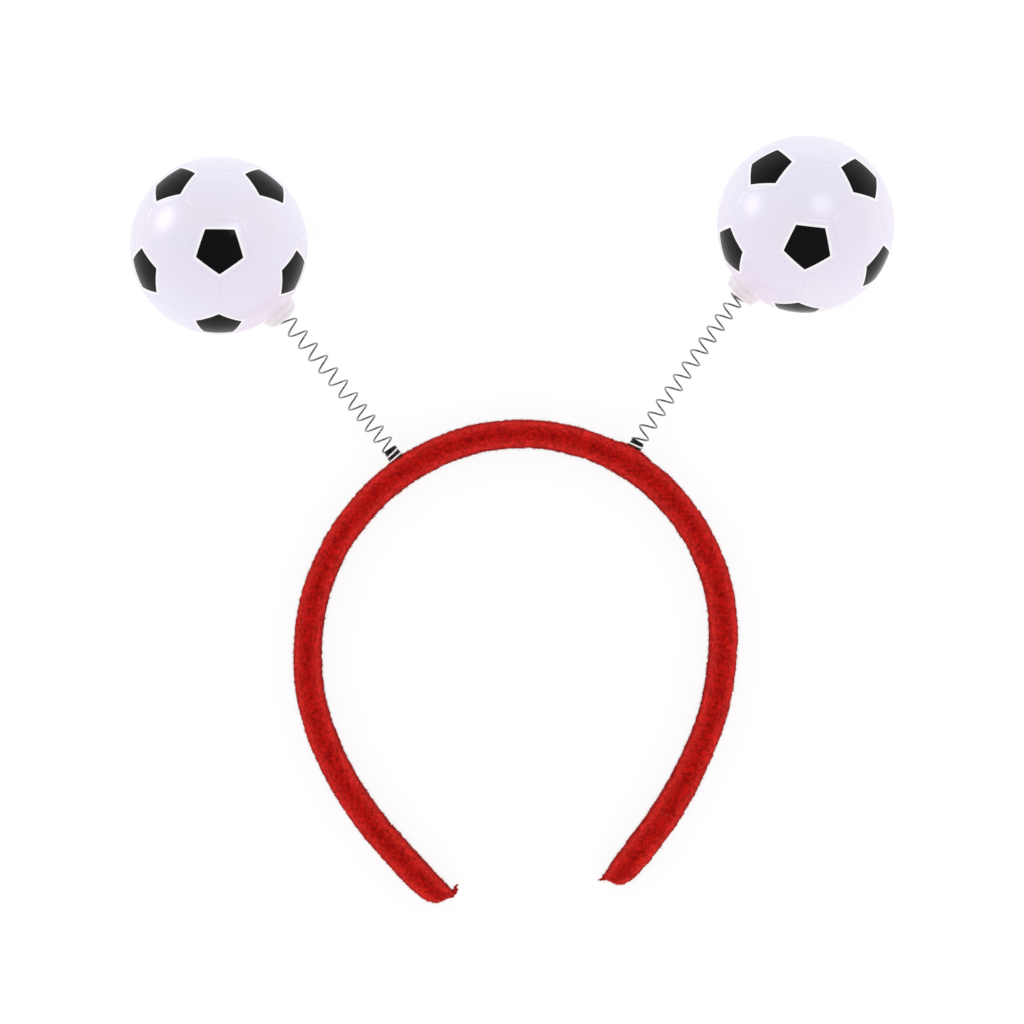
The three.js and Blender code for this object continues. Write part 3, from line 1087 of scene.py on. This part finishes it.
def in_fixed_order(triangles: Rows, points: Rows) -> Rows:
    """Sorts triangles by where they lie, because a union may list them in any order.

    Args:
        triangles: The three point numbers of each triangle.
        points: The points' places.

    Returns:
        The triangles from left to right, each from its leftmost corner on.
    """
    starts = points[triangles][:, :, 0].argmin(axis=1)
    turned = (starts[:, None] + np.arange(3)) % 3
    triangles = np.take_along_axis(triangles, turned, axis=1)
    return triangles[np.lexsort(points[triangles].mean(axis=1).T[::-1])]


@dataclass
class FeltPile:
    """The loose hairs on the felt, as one mesh of thin spikes."""

    name: str
    seed: int
    count: int = 45000
    length: float = 0.75 * MM  # The length of an ordinary hair.
    length_range: Flat = (0.6, 1.4)  # The shares of it that hairs have.
    thick: float = 0.045 * MM  # The radius of a hair's root.
    root_height: float = 1.6  # The height of its root, as a share of that radius.
    # The angle at which hairs lie across the band and how far it strays, in degrees.
    lie: Flat = (40.0, 30.0)
    lift: Flat = (26.0, 11.0)  # How steeply a hair stands and how far that strays, in degrees.
    stray: float = 0.04  # The share of hairs that are longer.
    stray_length: float = 2.0  # How many times as long they are.
    pale: float = 0.0005  # The share of hairs that are pale, and also longer and thicker.
    pale_length: float = 1.6 * MM
    pale_thick: float = 0.07 * MM  # The radius of its root.

    def build(self, band: Piece, line: MeasuredPath) -> Piece:
        """Models the hairs on the felt's surface.

        Args:
            band: The felt hoop.
            line: The hoop's middle line.

        Returns:
            The hairs.
        """
        draw = np.random.default_rng(self.seed)
        roots, normals, along, flank = self._scatter(band, draw)
        ahead = np.zeros_like(roots)
        ahead[:, :2] = line.read(along)[1]
        across = unit_rows(np.cross(normals, ahead))
        forward = np.cross(across, normals)
        lie, lift = (
            np.radians(angle + spread * draw.standard_normal(self.count))[:, None]
            for angle, spread in (self.lie, self.lift)
        )
        length = self.length * draw.uniform(*self.length_range, self.count)
        length = np.where(draw.random(self.count) < self.stray, self.stray_length * length, length)
        pale = draw.random(self.count) < self.pale
        length = np.where(pale, self.pale_length, length)[:, None]
        thick = np.where(pale, self.pale_thick, self.thick)[:, None]
        shade = np.where(pale, PALE_SHADE, draw.random(self.count))
        flat = forward * np.cos(lie) + across * np.sin(lie)
        way = flat * np.cos(lift) + normals * np.sin(lift)
        side = thick * unit_rows(np.cross(way, normals))
        sunk = roots - normals * thick
        top = sunk + self.root_height * thick * normals
        corners = np.stack([sunk + side, sunk - side, top, roots + way * length], axis=1)
        corners[:, :, 2] = np.maximum(corners[:, :, 2], 0.0)
        piece = self._join(corners)
        # Each hair keeps its random tone, and the felt's painted rim light and painted shade where it stands.
        for label, values in (("shade", shade), ("flank", flank)):
            keep_values(piece, label, np.repeat(values, corners.shape[1]))
        return piece

    def _scatter(self, band: Piece, draw: np.random.Generator) -> tuple[Rows, ...]:
        """Picks where the hairs stand.

        Args:
            band: The felt hoop.
            draw: The source of random numbers.

        Returns:
            The hairs' roots, and there the felt's normals, distances along the hoop and shares of painted rim
            light and painted shade.
        """
        mesh = band.data
        mesh.calc_loop_triangles()
        corners = np.empty(len(mesh.loop_triangles) * 3, dtype=np.int32)
        mesh.loop_triangles.foreach_get("vertices", corners)
        points = read_points(band)
        corners = in_fixed_order(corners.reshape(-1, 3), points)
        first, second, third = (points[column] for column in corners.T)
        normals = np.cross(second - first, third - first)
        areas = np.linalg.norm(normals, axis=1)
        chosen = draw.choice(len(areas), size=self.count, p=areas / areas.sum())
        near = np.sqrt(draw.random(self.count))[:, None]
        far = draw.random(self.count)[:, None]
        roots = first[chosen] * (1 - near) + (second[chosen] * (1 - far) + third[chosen] * far) * near
        along, flank = (read_values(band, name)[corners[chosen, 0]] for name in ("along", "flank"))
        return roots, normals[chosen] / areas[chosen, None], along, flank

    def _join(self, corners: Rows) -> Piece:
        """Joins the hairs into one mesh of closed spikes.

        Args:
            corners: The three root corners and the tip of each hair.

        Returns:
            The mesh's object.
        """
        spike = np.array([(0, 1, 2), (0, 2, 3), (2, 1, 3), (1, 0, 3)])
        faces = (np.arange(self.count)[:, None, None] * corners.shape[1] + spike).reshape(-1, 3)
        mesh = bpy.data.meshes.new(self.name)
        mesh.from_pydata(corners.reshape(-1, 3).tolist(), [], faces.tolist())
        piece = bpy.data.objects.new(self.name, mesh)
        bpy.context.scene.collection.objects.link(piece)
        return piece

    def dress(self, piece: Piece, finishes: Finishes) -> None:
        """Gives the hairs their material and their place in the frame.

        Args:
            piece: The hairs.
            finishes: The headband's materials.
        """
        piece.data.materials.append(finishes.pile)
        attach(piece, "hoop")


@dataclass
class Bopper:
    """A football on its neck, with the plug that holds the spring."""

    side: Side
    neck_dip: float = 18.0  # How far the neck points downwards, in degrees.
    seam_share: float = 0.355  # Where a seam corner lies on the way from one black panel to the next.
    seam_half: float = 0.5 * MM  # Half the width of a seam.
    seam_depth: float = 0.14 * MM
    # The distances between the rings that a panel is inset by, from its seam inwards, in millimetres.
    ring_steps: tuple[float, ...] = (0.2, 0.2, 0.25, 0.53, 0.18, 0.57, 1.2, 1.4, 1.4)
    print_ring: int = 6  # The ring at which the ink starts.
    # How far ink reaches from a panel's middle, as a share of the way to its corners.
    print_reach: float = 0.86
    shift_reach: float = 0.9  # How far the ink's shift reaches, as such a share.
    pale_from: float = 1.48 * MM  # How far from the seams the plastic round the ink is palest.
    side_cuts: int = 13  # How often each side of a panel is cut.
    pink_bounce_reach: float = 34.0 * MM  # How far from the neck the ball's plastic takes a painted pink reflection of the red felt.
    neck_radius: float = 5.8 * MM
    neck_rise: float = 1.6 * MM  # How far the neck stands out of the ball.
    neck_root: float = 4.0 * MM  # How far it reaches into the ball.
    neck_edge: float = 0.3 * MM  # How wide its edge is rounded.
    gap: float = 0.3 * MM  # The gap between the neck and the plug's rim.
    plug_radius: float = 5.3 * MM
    plug_rim: float = 1.2 * MM  # How far the plug stands out of its seat.
    # How wide the edges of its bore, its rim and its back are rounded.
    plug_edges: Place = (0.25 * MM, 0.5 * MM, 0.125 * MM)
    plug_bore: float = 3.0 * MM
    plug_bore_depth: float = 1.1 * MM
    wire_depth: float = 2.2 * MM  # How far under the plug's face the spring's middle line ends.
    round_sides: int = 64  # How many sides the neck and the plug have.
    edge_cuts: int = 4  # How many faces a rounded edge has.
    edge_slack: float = 0.05 * MM  # How far off its place a point of an edge may lie.
    facing: float = 0.9  # The cosine from which a face of the plug is its front.
    # The angles from which edges of the ball and of the plug are sharp, in degrees.
    sharp: Flat = (38.0, 40.0)

    def __post_init__(self) -> None:
        """Finds the ball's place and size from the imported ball, and what lies on its neck's axis."""
        low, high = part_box(f"ball_{self.side.value}")
        self.size = STALKS[self.side]
        self.radius = (high.x - low.x) / 2
        self.centre = (low + high) / 2
        self.neck = self._dipped(self.size.neck_heads)
        self.wire_way = self._dipped(self.size.wire_heads)
        turns = [math.radians(turn) for turn in self.size.turned]
        about_x, about_y, about_z = (Matrix.Rotation(turn, 4, axis) for turn, axis in zip(turns, "XYZ"))
        self.turn = about_x @ about_y @ about_z
        self.back = self.turn.to_3x3().inverted()
        self.seat = self.radius + self.neck_rise + self.gap
        self.wire_end = self.centre + self.neck * (self.seat + self.plug_rim - self.wire_depth)
        self.rim = self.centre + self.neck * (self.seat + self.plug_rim)
        self.poles = self._poles()
        self.neck_way = np.array(self.back @ self.neck)
        self.bare = int(np.argmax(self.poles @ self.neck_way))

    def _dipped(self, degrees: float) -> Vector:
        """Gives the direction at a level angle that dips as far as the neck does."""
        dip = math.radians(self.neck_dip)
        return heading(degrees) * math.cos(dip) - UP * math.sin(dip)

    def _poles(self) -> Rows:
        """Works out the middles of the twelve five-sided panels, before the ball is turned.

        Returns:
            One direction for each panel.
        """
        out, up = math.sin(PANELS_APART), math.cos(PANELS_APART)
        turns = np.radians(np.arange(0, 360, 72))
        around = [(out * math.cos(turn), out * math.sin(turn), up) for turn in turns]
        upper = np.array([(0.0, 0.0, 1.0), *around])
        return np.concatenate([upper, -upper])

    def _corner(self, here: int, there: int) -> Rows:
        """Gives the seam corner on the way from one five-sided panel's middle to another's."""
        point = self.poles[here] + self.seam_share * (self.poles[there] - self.poles[here])
        return point / np.linalg.norm(point)

    def _seams(self) -> list[tuple[Rows, Rows]]:
        """Works out the ball's seams, before it is turned.

        Returns:
            The two end directions of each seam.
        """
        near = self.poles @ self.poles.T > math.cos(PANELS_APART) - APART_SLACK
        linked = [(a, b) for a, b in np.argwhere(near).tolist() if a != b]
        seams = [(self._corner(a, b), self._corner(b, a)) for a, b in linked if a < b]
        for a, b in linked:
            for other, c in linked:
                if other == a and b < c and (b, c) in linked:
                    seams.append((self._corner(a, b), self._corner(a, c)))
        return seams

    def _seam_distance(self, ways: Rows) -> Rows:
        """Measures how far directions lie from the nearest seam, over the ball's surface.

        Args:
            ways: Unit directions from the ball's middle.

        Returns:
            The distances.
        """
        nearest = np.full(len(ways), np.pi)
        for start, end in self._seams():
            axis = np.cross(start, end)
            axis = axis / np.linalg.norm(axis)
            beside = np.arcsin(np.clip(np.abs(ways @ axis), 0.0, 1.0))
            between = (ways @ np.cross(axis, start) > 0.0) & (ways @ np.cross(end, axis) > 0.0)
            from_ends = np.arccos(np.clip(np.maximum(ways @ start, ways @ end), -1.0, 1.0))
            nearest = np.minimum(nearest, np.where(between & (ways @ start > 0.0), beside, from_ends))
        return nearest * self.radius

    def _in_black(self, ways: Rows, reach: float) -> Rows:
        """Tells which directions lie in a printed panel. The panel that the neck stands on has no print.

        Args:
            ways: Unit directions from the ball's middle.
            reach: How far from a panel's middle they may lie, as a share of the way to its corners.

        Returns:
            True for each that does.
        """
        near = ways @ self.poles.T
        inside = near.max(axis=1) > math.cos(PANELS_APART * self.seam_share * reach)
        return inside & (near.argmax(axis=1) != self.bare)

    def build_ball(self) -> Piece:
        """Models the ball: an icosahedron is cut into panels, inset, rounded and grooved.

        Returns:
            The ball in its first material slot, with the ink in the second and the neck in the third.
        """
        deselect()
        bpy.ops.mesh.primitive_ico_sphere_add(subdivisions=1, radius=self.radius)
        ball = bpy.context.object
        self._add_slots(ball)
        with editing(ball):
            bpy.ops.mesh.select_all(action="SELECT")
            bpy.ops.mesh.bevel(offset_type="PERCENT", offset_pct=100 * self.seam_share, affect="VERTICES")
            bmesh.from_edit_mesh(ball.data).verts.layers.int.new("ring")
            bpy.ops.mesh.select_mode(type="FACE")
            bpy.ops.mesh.select_all(action="SELECT")
            for ring, step in enumerate(self.ring_steps, start=1):
                bpy.ops.mesh.inset(thickness=step * MM, use_individual=True)
                self._mark_ring(ball, ring)
            bpy.ops.mesh.poke()
            self._ink(ball)
            mark = bmesh.from_edit_mesh(ball.data).verts.layers.int["ring"]
            select(ball, Kind.EDGE, lambda edge: edge.verts[0][mark] == edge.verts[1][mark])
            bpy.ops.mesh.subdivide(number_cuts=self.side_cuts)
        self._round(ball)
        ball.matrix_world = Matrix.Translation(self.centre) @ self.turn
        settle(ball, f"ball_shell_{self.side.value}")
        unite(ball, self._build_neck())
        smooth(ball, self.sharp[0])
        return ball

    def _add_slots(self, piece: Piece) -> None:
        """Gives a piece empty material slots for the ball, the ink and the neck."""
        for _ in BallSlot:
            piece.data.materials.append(None)

    def _mark_ring(self, ball: Piece, ring: int) -> None:
        """Writes a ring's number on the vertices of the selected faces.

        Args:
            ball: The ball, in edit mode.
            ring: The ring's number.
        """
        mesh = bmesh.from_edit_mesh(ball.data)
        mark = mesh.verts.layers.int["ring"]
        for vertex in (vertex for face in mesh.faces if face.select for vertex in face.verts):
            vertex[mark] = ring

    def _ink(self, ball: Piece) -> None:
        """Numbers the middles of the panels as the innermost ring, and gives printed faces the ink's slot.

        Args:
            ball: The ball, in edit mode.
        """
        mesh = bmesh.from_edit_mesh(ball.data)
        mark = mesh.verts.layers.int["ring"]
        last = len(self.ring_steps)
        for vertex in mesh.verts:
            beside = {edge.other_vert(vertex)[mark] for edge in vertex.link_edges}
            if vertex[mark] == 0 and beside == {last}:
                vertex[mark] = last + 1
        for face in mesh.faces:
            way = np.array(face.calc_center_median().normalized())
            inside = all(vertex[mark] >= self.print_ring for vertex in face.verts)
            if inside and self._in_black(way[None], self.print_reach)[0]:
                face.material_index = BallSlot.INK
        bmesh.update_edit_mesh(ball.data)

    def _round(self, ball: Piece) -> None:
        """Rounds the panels to a ball, shifts the ink, sinks the seams and marks where the colour changes, and
        where a painted pink reflection of the red felt falls near the neck.

        Args:
            ball: The ball, before it is turned.
        """
        ways = unit_rows(read_points(ball))
        distance = self._seam_distance(ways)
        in_black = self._in_black(ways, self.shift_reach)
        shift = np.array(self.back @ Vector((*self.size.print_shift, 0.0)))
        moved = smooth_step((distance - self.seam_half) / MM) * in_black
        sunk = self.seam_depth * (1.0 - smooth_step(distance / self.seam_half))
        ways = unit_rows(ways + moved[:, None] * shift / self.radius)
        write_points(ball, ways * (self.radius - sunk)[:, None])
        keep_values(ball, "pale", in_black & (distance > self.pale_from))
        # A painted pink reflection of the red felt, strongest at the neck.
        from_neck = self.radius * np.arccos(np.clip(ways @ self.neck_way, -1.0, 1.0))
        keep_values(ball, "blush", smooth_step(1.0 - from_neck / self.pink_bounce_reach))

    def _round_bar(self, radius: float, low: float, high: float) -> Piece:
        """Adds a cylinder on the neck's axis, between two distances from the ball's centre."""
        middle = self.centre + self.neck * ((low + high) / 2)
        return add_bar("round_bar", self.round_sides, radius, high - low, middle, self.neck)

    def _build_neck(self) -> Piece:
        """Models the short neck that the ball is blown through.

        Returns:
            The neck, which reaches into the ball.
        """
        top = self.radius + self.neck_rise
        neck = self._round_bar(self.neck_radius, self.radius - self.neck_root, top)
        with editing(neck):
            self._bevel_rim(neck, top, self.neck_radius, self.neck_edge)
        self._add_slots(neck)
        neck.data.polygons.foreach_set("material_index", [BallSlot.NECK] * len(neck.data.polygons))
        return neck

    def _on_axis(self, point: Vector) -> Flat:
        """Gives a point's distance along the neck's axis and from it."""
        along = (point - self.centre).dot(self.neck)
        return along, (point - self.centre - self.neck * along).length

    def _bevel_rim(self, piece: Piece, along: float, radius: float, width: float) -> None:
        """Rounds a round edge of the piece that is in edit mode.

        Args:
            piece: The piece that is being edited.
            along: The edge's distance from the ball's centre.
            radius: The edge's radius.
            width: How wide the rounding is.
        """

        def on_rim(edge: bmesh.types.BMEdge) -> bool:
            """Tells whether an edge lies on the rim."""
            places = np.array([self._on_axis(vertex.co) for vertex in edge.verts])
            return bool((np.abs(places - (along, radius)) < self.edge_slack).all())

        select(piece, Kind.EDGE, on_rim)
        bpy.ops.mesh.bevel(offset=width, segments=self.edge_cuts, affect="EDGES")

    def build_plug(self) -> Piece:
        """Models the plug: a disc that closes the neck and whose face is bored for the spring.

        Returns:
            The plug.
        """
        rim = self.seat + self.plug_rim
        back = self.seat - self.gap
        plug = self._round_bar(self.plug_radius, back, rim)
        with editing(plug):
            select(plug, Kind.FACE, lambda face: face.normal.dot(self.neck) > self.facing)
            bpy.ops.mesh.inset(thickness=self.plug_radius - self.plug_bore)
            sunk = -self.neck * self.plug_bore_depth
            bpy.ops.mesh.extrude_region_move(TRANSFORM_OT_translate={"value": sunk})
            rims = ((rim, self.plug_bore), (rim, self.plug_radius), (back, self.plug_radius))
            for place, width in zip(rims, self.plug_edges):
                self._bevel_rim(plug, *place, width)
        settle(plug, f"plug_disc_{self.side.value}")
        smooth(plug, self.sharp[1])
        return plug

    def dress(self, ball: Piece, plug: Piece, finishes: Finishes) -> None:
        """Gives the ball and the plug their materials and their place in the frame.

        Args:
            ball: The ball with its neck.
            plug: The plug.
            finishes: The headband's materials.
        """
        for number, finish in zip(BallSlot, (finishes.white, finishes.ink, finishes.milky)):
            ball.data.materials[number] = finish
        plug.data.materials.append(finishes.milky)
        for piece, node, slot in ((ball, "ball", "white_plastic"), (plug, "plug", "milky_plastic")):
            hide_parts(f"{node}_{self.side.value}")
            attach(piece, f"bopper_{self.side.value}")


@dataclass
class SpringStalk:
    """A coil spring and the black stud that it is wound on."""

    side: Side
    foot: Vector  # Where the stud leaves the felt.
    outward: Vector  # The direction in which the stud stands.
    bopper: Bopper  # The football that the spring carries.
    wire_radius: float = 0.3 * MM
    wire_roundness: int = 3  # How finely the wire's section is rounded.
    steps: int = 36  # How many straight pieces a turn has.
    axis_points: int = 500
    even_points: int = 4000  # How many places along the axis the turns are counted at.
    axis_pull: float = 0.2  # The share of its span where the axis keeps straight at each end.
    end_slack: float = 1.0 * MM  # How far before the axis's end the wire ends.
    end_lean: float = 6.0 * MM  # How far from its end the turns lean over to the axis.
    leave_reach: float = 3.0 * MM  # How far past the stud the turns have opened.
    painted_glint_reach: float = 0.6 * MM  # How far under the stud's top the wire has turned pale: a painted highlight on the wound turns.
    stud_radius: float = 2.35 * MM  # The stud's radius at the felt.
    stud_taper: float = 0.25 * MM  # How much thinner its top is.
    wound_out: float = 0.13 * MM  # How far the wire's middle lies outside the stud.
    stud_root: float = 2.5 * MM  # How far the stud reaches into the felt.
    stud_edge: float = 0.4 * MM  # How wide its edge is rounded.
    stud_sides: int = 48
    stud_cuts: int = 44  # How often its length is cut.
    edge_cuts: int = 4  # How many faces its rounded edge has.
    groove_slack: float = 0.08 * MM  # How much wider than the wire its grooves are.
    side_share: float = 0.9  # The share of the stud's radius past which its surface is its side.
    edge_slack: float = 0.01 * MM  # How far below the top a point of the top edge may lie.
    weld: float = 0.005 * MM  # How close points are one point.
    # The angles from which edges of the spring and of the stud are sharp, in degrees.
    sharp: Flat = (60.0, 40.0)

    def __post_init__(self) -> None:
        """Works out the line that the spring's turns go round."""
        self.size = STALKS[self.side]
        self.start, self.way = np.array(self.foot), np.array(self.outward)
        end = np.array(self.bopper.wire_end)
        pull = self.axis_pull * np.linalg.norm(end - self.start)
        knots = (self.start, self.start + pull * self.way, end + pull * np.array(self.bopper.wire_way), end)
        buried = self.start - self.stud_root * self.way
        self.axis = MeasuredPath(np.concatenate([[buried], bezier(knots, self.axis_points)]))
        self.row_along, self.row_turns = (np.array(self.size.turn_rows) * (MM, 1.0)).T

    def _stud_radius(self, along: Rows) -> Rows:
        """Gives the tapered stud's radius at distances from the felt."""
        return self.stud_radius - self.stud_taper * np.clip(along / self.size.stud_rise, 0.0, 1.0)

    def _coil_radius(self, along: Rows) -> Rows:
        """Gives the radius of the spring's turns at distances from the felt.

        Args:
            along: The distances.

        Returns:
            The radii.
        """
        wound = self._stud_radius(along) + self.wound_out
        opened = smooth_step((along - self.size.stud_rise) / self.leave_reach)
        return wound + (self.size.coil_radius - wound) * opened

    def _wire_points(self) -> Rows:
        """Works out the spring's turns.

        Returns:
            Points along the middle of the wire, from the felt to the plug.
        """
        end = self.axis.length - self.stud_root - self.end_slack
        evenly = np.linspace(self.row_along[0], end, self.even_points)
        turns = np.interp(evenly, self.row_along, self.row_turns)
        count = int((turns[-1] - turns[0]) * self.steps)
        along = np.interp(np.linspace(turns[0], turns[-1], count), turns, evenly)
        middle, ahead = self.axis.read(along + self.stud_root)
        angle = np.radians(self.size.phase) + 2 * np.pi * np.interp(along, self.row_along, self.row_turns)
        right = unit_rows(np.cross(ahead, np.array(UP)))
        upright = np.array(UP) + np.zeros_like(right)
        leaning = smooth_step((along - end) / self.end_lean + 1.0)[:, None]
        over = unit_rows(upright + (np.cross(right, ahead) - upright) * leaning)
        turn = np.cos(angle)[:, None] * right - np.sin(angle)[:, None] * over
        return middle + self._coil_radius(along)[:, None] * turn

    def build_spring(self) -> Piece:
        """Models the spring: a wire is drawn along its turns and marked for a painted highlight where it is on
        the stud.

        Returns:
            The spring.
        """
        points = self._wire_points()
        radii = np.full(len(points), self.wire_radius / MM)
        name = f"coil_spring_{self.side.value}"
        spring = bent_wire(name, Run.STRAIGHT, points, radii, self.wire_roundness)
        smooth(spring, self.sharp[0])
        height = (read_points(spring) - self.start) @ self.way
        # A painted highlight on the turns wound on the stud.
        keep_values(spring, "pale", smooth_step((self.size.stud_rise - height) / self.painted_glint_reach))
        return spring

    def build_stud(self) -> Piece:
        """Models the stud: a peg whose side is grooved where the wire is wound on it.

        Returns:
            The stud.
        """
        rise = self.size.stud_rise
        depth = rise + self.stud_root
        middle = self.foot + self.outward * (rise - self.stud_root) / 2
        name = f"spring_stud_{self.side.value}"
        stud = add_bar(name, self.stud_sides, self.stud_radius, depth, middle, self.outward)

        def upright(edge: bmesh.types.BMEdge) -> bool:
            """Tells whether an edge runs along the peg."""
            return abs((edge.verts[0].co - edge.verts[1].co).dot(self.outward)) > depth / 2

        def on_top(edge: bmesh.types.BMEdge) -> bool:
            """Tells whether an edge lies round the peg's outer end."""
            heights = [(vertex.co - self.foot).dot(self.outward) for vertex in edge.verts]
            return min(heights) > rise - self.edge_slack

        with editing(stud):
            select(stud, Kind.EDGE, upright)
            bpy.ops.mesh.subdivide(number_cuts=self.stud_cuts)
            select(stud, Kind.EDGE, on_top)
            rounding = {"offset": self.stud_edge, "segments": self.edge_cuts, "clamp_overlap": False}
            bpy.ops.mesh.bevel(affect="EDGES", **rounding)
            bpy.ops.mesh.select_all(action="SELECT")
            bpy.ops.mesh.remove_doubles(threshold=self.weld)
        write_points(stud, self._groove(read_points(stud)))
        smooth(stud, self.sharp[1])
        return stud

    def _groove(self, points: Rows) -> Rows:
        """Tapers the stud and sinks its side under the wire.

        Args:
            points: The stud's vertices.

        Returns:
            The vertices of the tapered and grooved stud.
        """
        offset = points - self.start
        along = offset @ self.way
        beside = offset - along[:, None] * self.way
        right = np.array(self.outward.cross(UP).normalized())
        over = np.cross(right, self.way)
        angle = np.arctan2(-(beside @ over), beside @ right)
        turn = (angle - math.radians(self.size.phase)) / (2 * np.pi)
        wire = np.interp(along, self.row_along, self.row_turns)
        nearest = np.round(wire - turn) + turn
        apart = along - np.interp(nearest, self.row_turns, self.row_along)
        groove = self.wire_radius + self.groove_slack
        radius = np.linalg.norm(beside, axis=1)
        tapered = radius * self._stud_radius(along) / self.stud_radius
        floor = self._coil_radius(along) - np.sqrt(np.maximum(groove**2 - apart**2, 0.0))
        on_side = (np.abs(apart) < groove) & (radius > self.side_share * self.stud_radius)
        sunk = np.where(on_side, np.minimum(tapered, floor), tapered)
        scale = sunk / np.maximum(radius, self.weld)
        return self.start + along[:, None] * self.way + beside * scale[:, None]

    def dress(self, spring: Piece, stud: Piece, finishes: Finishes) -> None:
        """Gives the spring and the stud their materials and their place in the frame.

        Args:
            spring: The spring.
            stud: The stud.
            finishes: The headband's materials.
        """
        spring.data.materials.append(finishes.wire)
        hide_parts(f"spring_{self.side.value}")
        top = self.foot + self.outward * self.size.stud_rise
        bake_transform(spring, "hoop", f"bopper_{self.side.value}", start=tuple(top), end=tuple(self.bopper.rim))
        stud.data.materials.append(finishes.stud)
        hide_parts(f"stud_{self.side.value}")
        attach(stud, "hoop")


@dataclass(frozen=True)
class SoftBox:
    """A soft round light that faces the headband and shows in its gloss."""

    name: str
    place: Place
    size: float
    power: float  # Its power in watts.


@dataclass
class Studio:
    """The pale floor, the soft light and the camera."""

    camera_height: float = 1300.0 * MM
    camera_over: Flat = (-0.07 * MM, 3.09 * MM)  # The point of the floor that it looks straight down on.
    lens: float = 144.07  # The camera's focal length in millimetres.
    sensor: float = 36.0  # The width of its sensor in millimetres.
    floor_size: float = 6.0
    floor_grey: float = 0.17  # The floor's own brightness.
    floor_roughness: float = 0.9
    table_glow: float = 0.86  # How much light comes up through the white table.
    side_light: Flat = (1.12, 0.6)  # The brightness of the light from the walls, and of their mirror image.
    top_light: Flat = (0.86, 0.1)  # The brightness of the light from overhead, and of its mirror image.
    walls_end: float = 0.1  # How high the walls reach.
    lit_from: float = 1.0  # The height from which the light is the one from overhead.
    mirrored_from: float = 0.6  # The height from which its mirror image is.
    tint_ends: Flat = (-0.8, 0.8)  # Where the tints of the light are full.
    cool: Colour = (0.985, 0.985, 1.0)  # The tint of the light from beyond the crown.
    warm: Colour = (1.0, 0.96, 0.98)  # The tint of the light from behind the tips.
    # The lights that show in the gloss.
    boxes: tuple[SoftBox, ...] = (
        SoftBox("left_window", (-0.62, 0.34, 0.17), 0.28, 0.95),
        SoftBox("upper_box", (0.36, 0.44, 0.9), 0.42, 1.4),
    )

    def build(self) -> None:
        """Sets up the floor, the light and the camera."""
        self._floor()
        self._sky()
        for box in self.boxes:
            self._hang(box)
        self._camera()
        bpy.context.scene.view_settings.view_transform = "Standard"

    def _floor(self) -> None:
        """Lays the pale floor."""
        deselect()
        bpy.ops.mesh.primitive_plane_add(size=self.floor_size)
        floor = bpy.context.object
        floor.name = "pale_floor"
        material, sheet = start_material("pale_floor")
        sheet.surface({
            "Roughness": self.floor_roughness,
            "Specular IOR Level": 0.0,
            "Base Color": (self.floor_grey,) * 3,
            "Emission Color": WHITE,
            "Emission Strength": self.table_glow,
        })
        floor.data.materials.append(material)

    def _sky(self) -> None:
        """Lights the scene softly from all round, a little less from overhead."""
        world = bpy.data.worlds.new("soft_room")
        world.use_nodes = True
        world.cycles.sampling_method = "NONE"
        world.node_tree.nodes.clear()
        sheet = NodeSheet(world.node_tree)
        way = sheet.add("ShaderNodeTexCoord").outputs["Generated"]
        parts = sheet.add("ShaderNodeSeparateXYZ", {"Vector": way}).outputs
        (side, side_mirrored), (top, top_mirrored) = self.side_light, self.top_light
        lit = sheet.range(parts["Z"], (self.walls_end, self.lit_from), (side, top))
        less = (side_mirrored - side, top_mirrored - top)
        dimmer = sheet.range(parts["Z"], (self.walls_end, self.mirrored_from), less)
        mirrored = sheet.add("ShaderNodeLightPath").outputs["Is Glossy Ray"]
        tint = sheet.blend(sheet.range(parts["Y"], self.tint_ends), self.warm, self.cool)
        sockets = {"Color": tint, "Strength": sheet.sum(lit, dimmer, mirrored)}
        glow = sheet.add("ShaderNodeBackground", sockets).outputs["Background"]
        sheet.add("ShaderNodeOutputWorld", {"Surface": glow})
        bpy.context.scene.world = world

    def _hang(self, box: SoftBox) -> None:
        """Hangs a soft light.

        Args:
            box: The light's place, size and power.
        """
        light = bpy.data.lights.new(box.name, "AREA")
        light.shape = "DISK"
        light.size = box.size
        light.energy = box.power
        holder = bpy.data.objects.new(box.name, light)
        holder.location = box.place
        holder.rotation_euler = (-holder.location).to_track_quat("-Z", "Y").to_euler()
        holder.visible_diffuse = False
        bpy.context.scene.collection.objects.link(holder)

    def _camera(self) -> None:
        """Points the camera straight down, with the crown of the hoop towards the top of the picture."""
        camera = bpy.data.cameras.new("overhead_camera")
        camera.lens = self.lens
        camera.sensor_width = self.sensor
        holder = bpy.data.objects.new("overhead_camera", camera)
        holder.location = (*self.camera_over, self.camera_height)
        bpy.context.scene.collection.objects.link(holder)
        bpy.context.scene.camera = holder


def report_piece(piece: Piece) -> None:
    """Logs a finished piece with its number of faces."""
    LOG.info("%s: %d faces", piece.name, len(piece.data.polygons))


def main() -> None:
    """Builds the studio and every piece of the headband."""
    logging.basicConfig(level=logging.INFO, format="%(name)s: %(message)s")
    finishes = Finishes()
    Studio().build()
    felt = FeltBand()
    band = felt.build()
    felt.fluff(band)
    report_piece(band)
    for name, seed in (("felt_pile_a", 11), ("felt_pile_b", 12)):
        pile = FeltPile(name, seed)
        hairs = pile.build(band, felt.line)
        pile.dress(hairs, finishes)
        report_piece(hairs)
    felt.dress(band, finishes)
    for side in Side:
        bopper = Bopper(side)
        ball = bopper.build_ball()
        plug = bopper.build_plug()
        bopper.dress(ball, plug, finishes)
        stalk = SpringStalk(side, *felt.stud_foot(STALKS[side]), bopper)
        spring = stalk.build_spring()
        stud = stalk.build_stud()
        stalk.dress(spring, stud, finishes)
        for piece in (ball, plug, spring, stud):
            report_piece(piece)


if __name__ == "__main__":
    main()
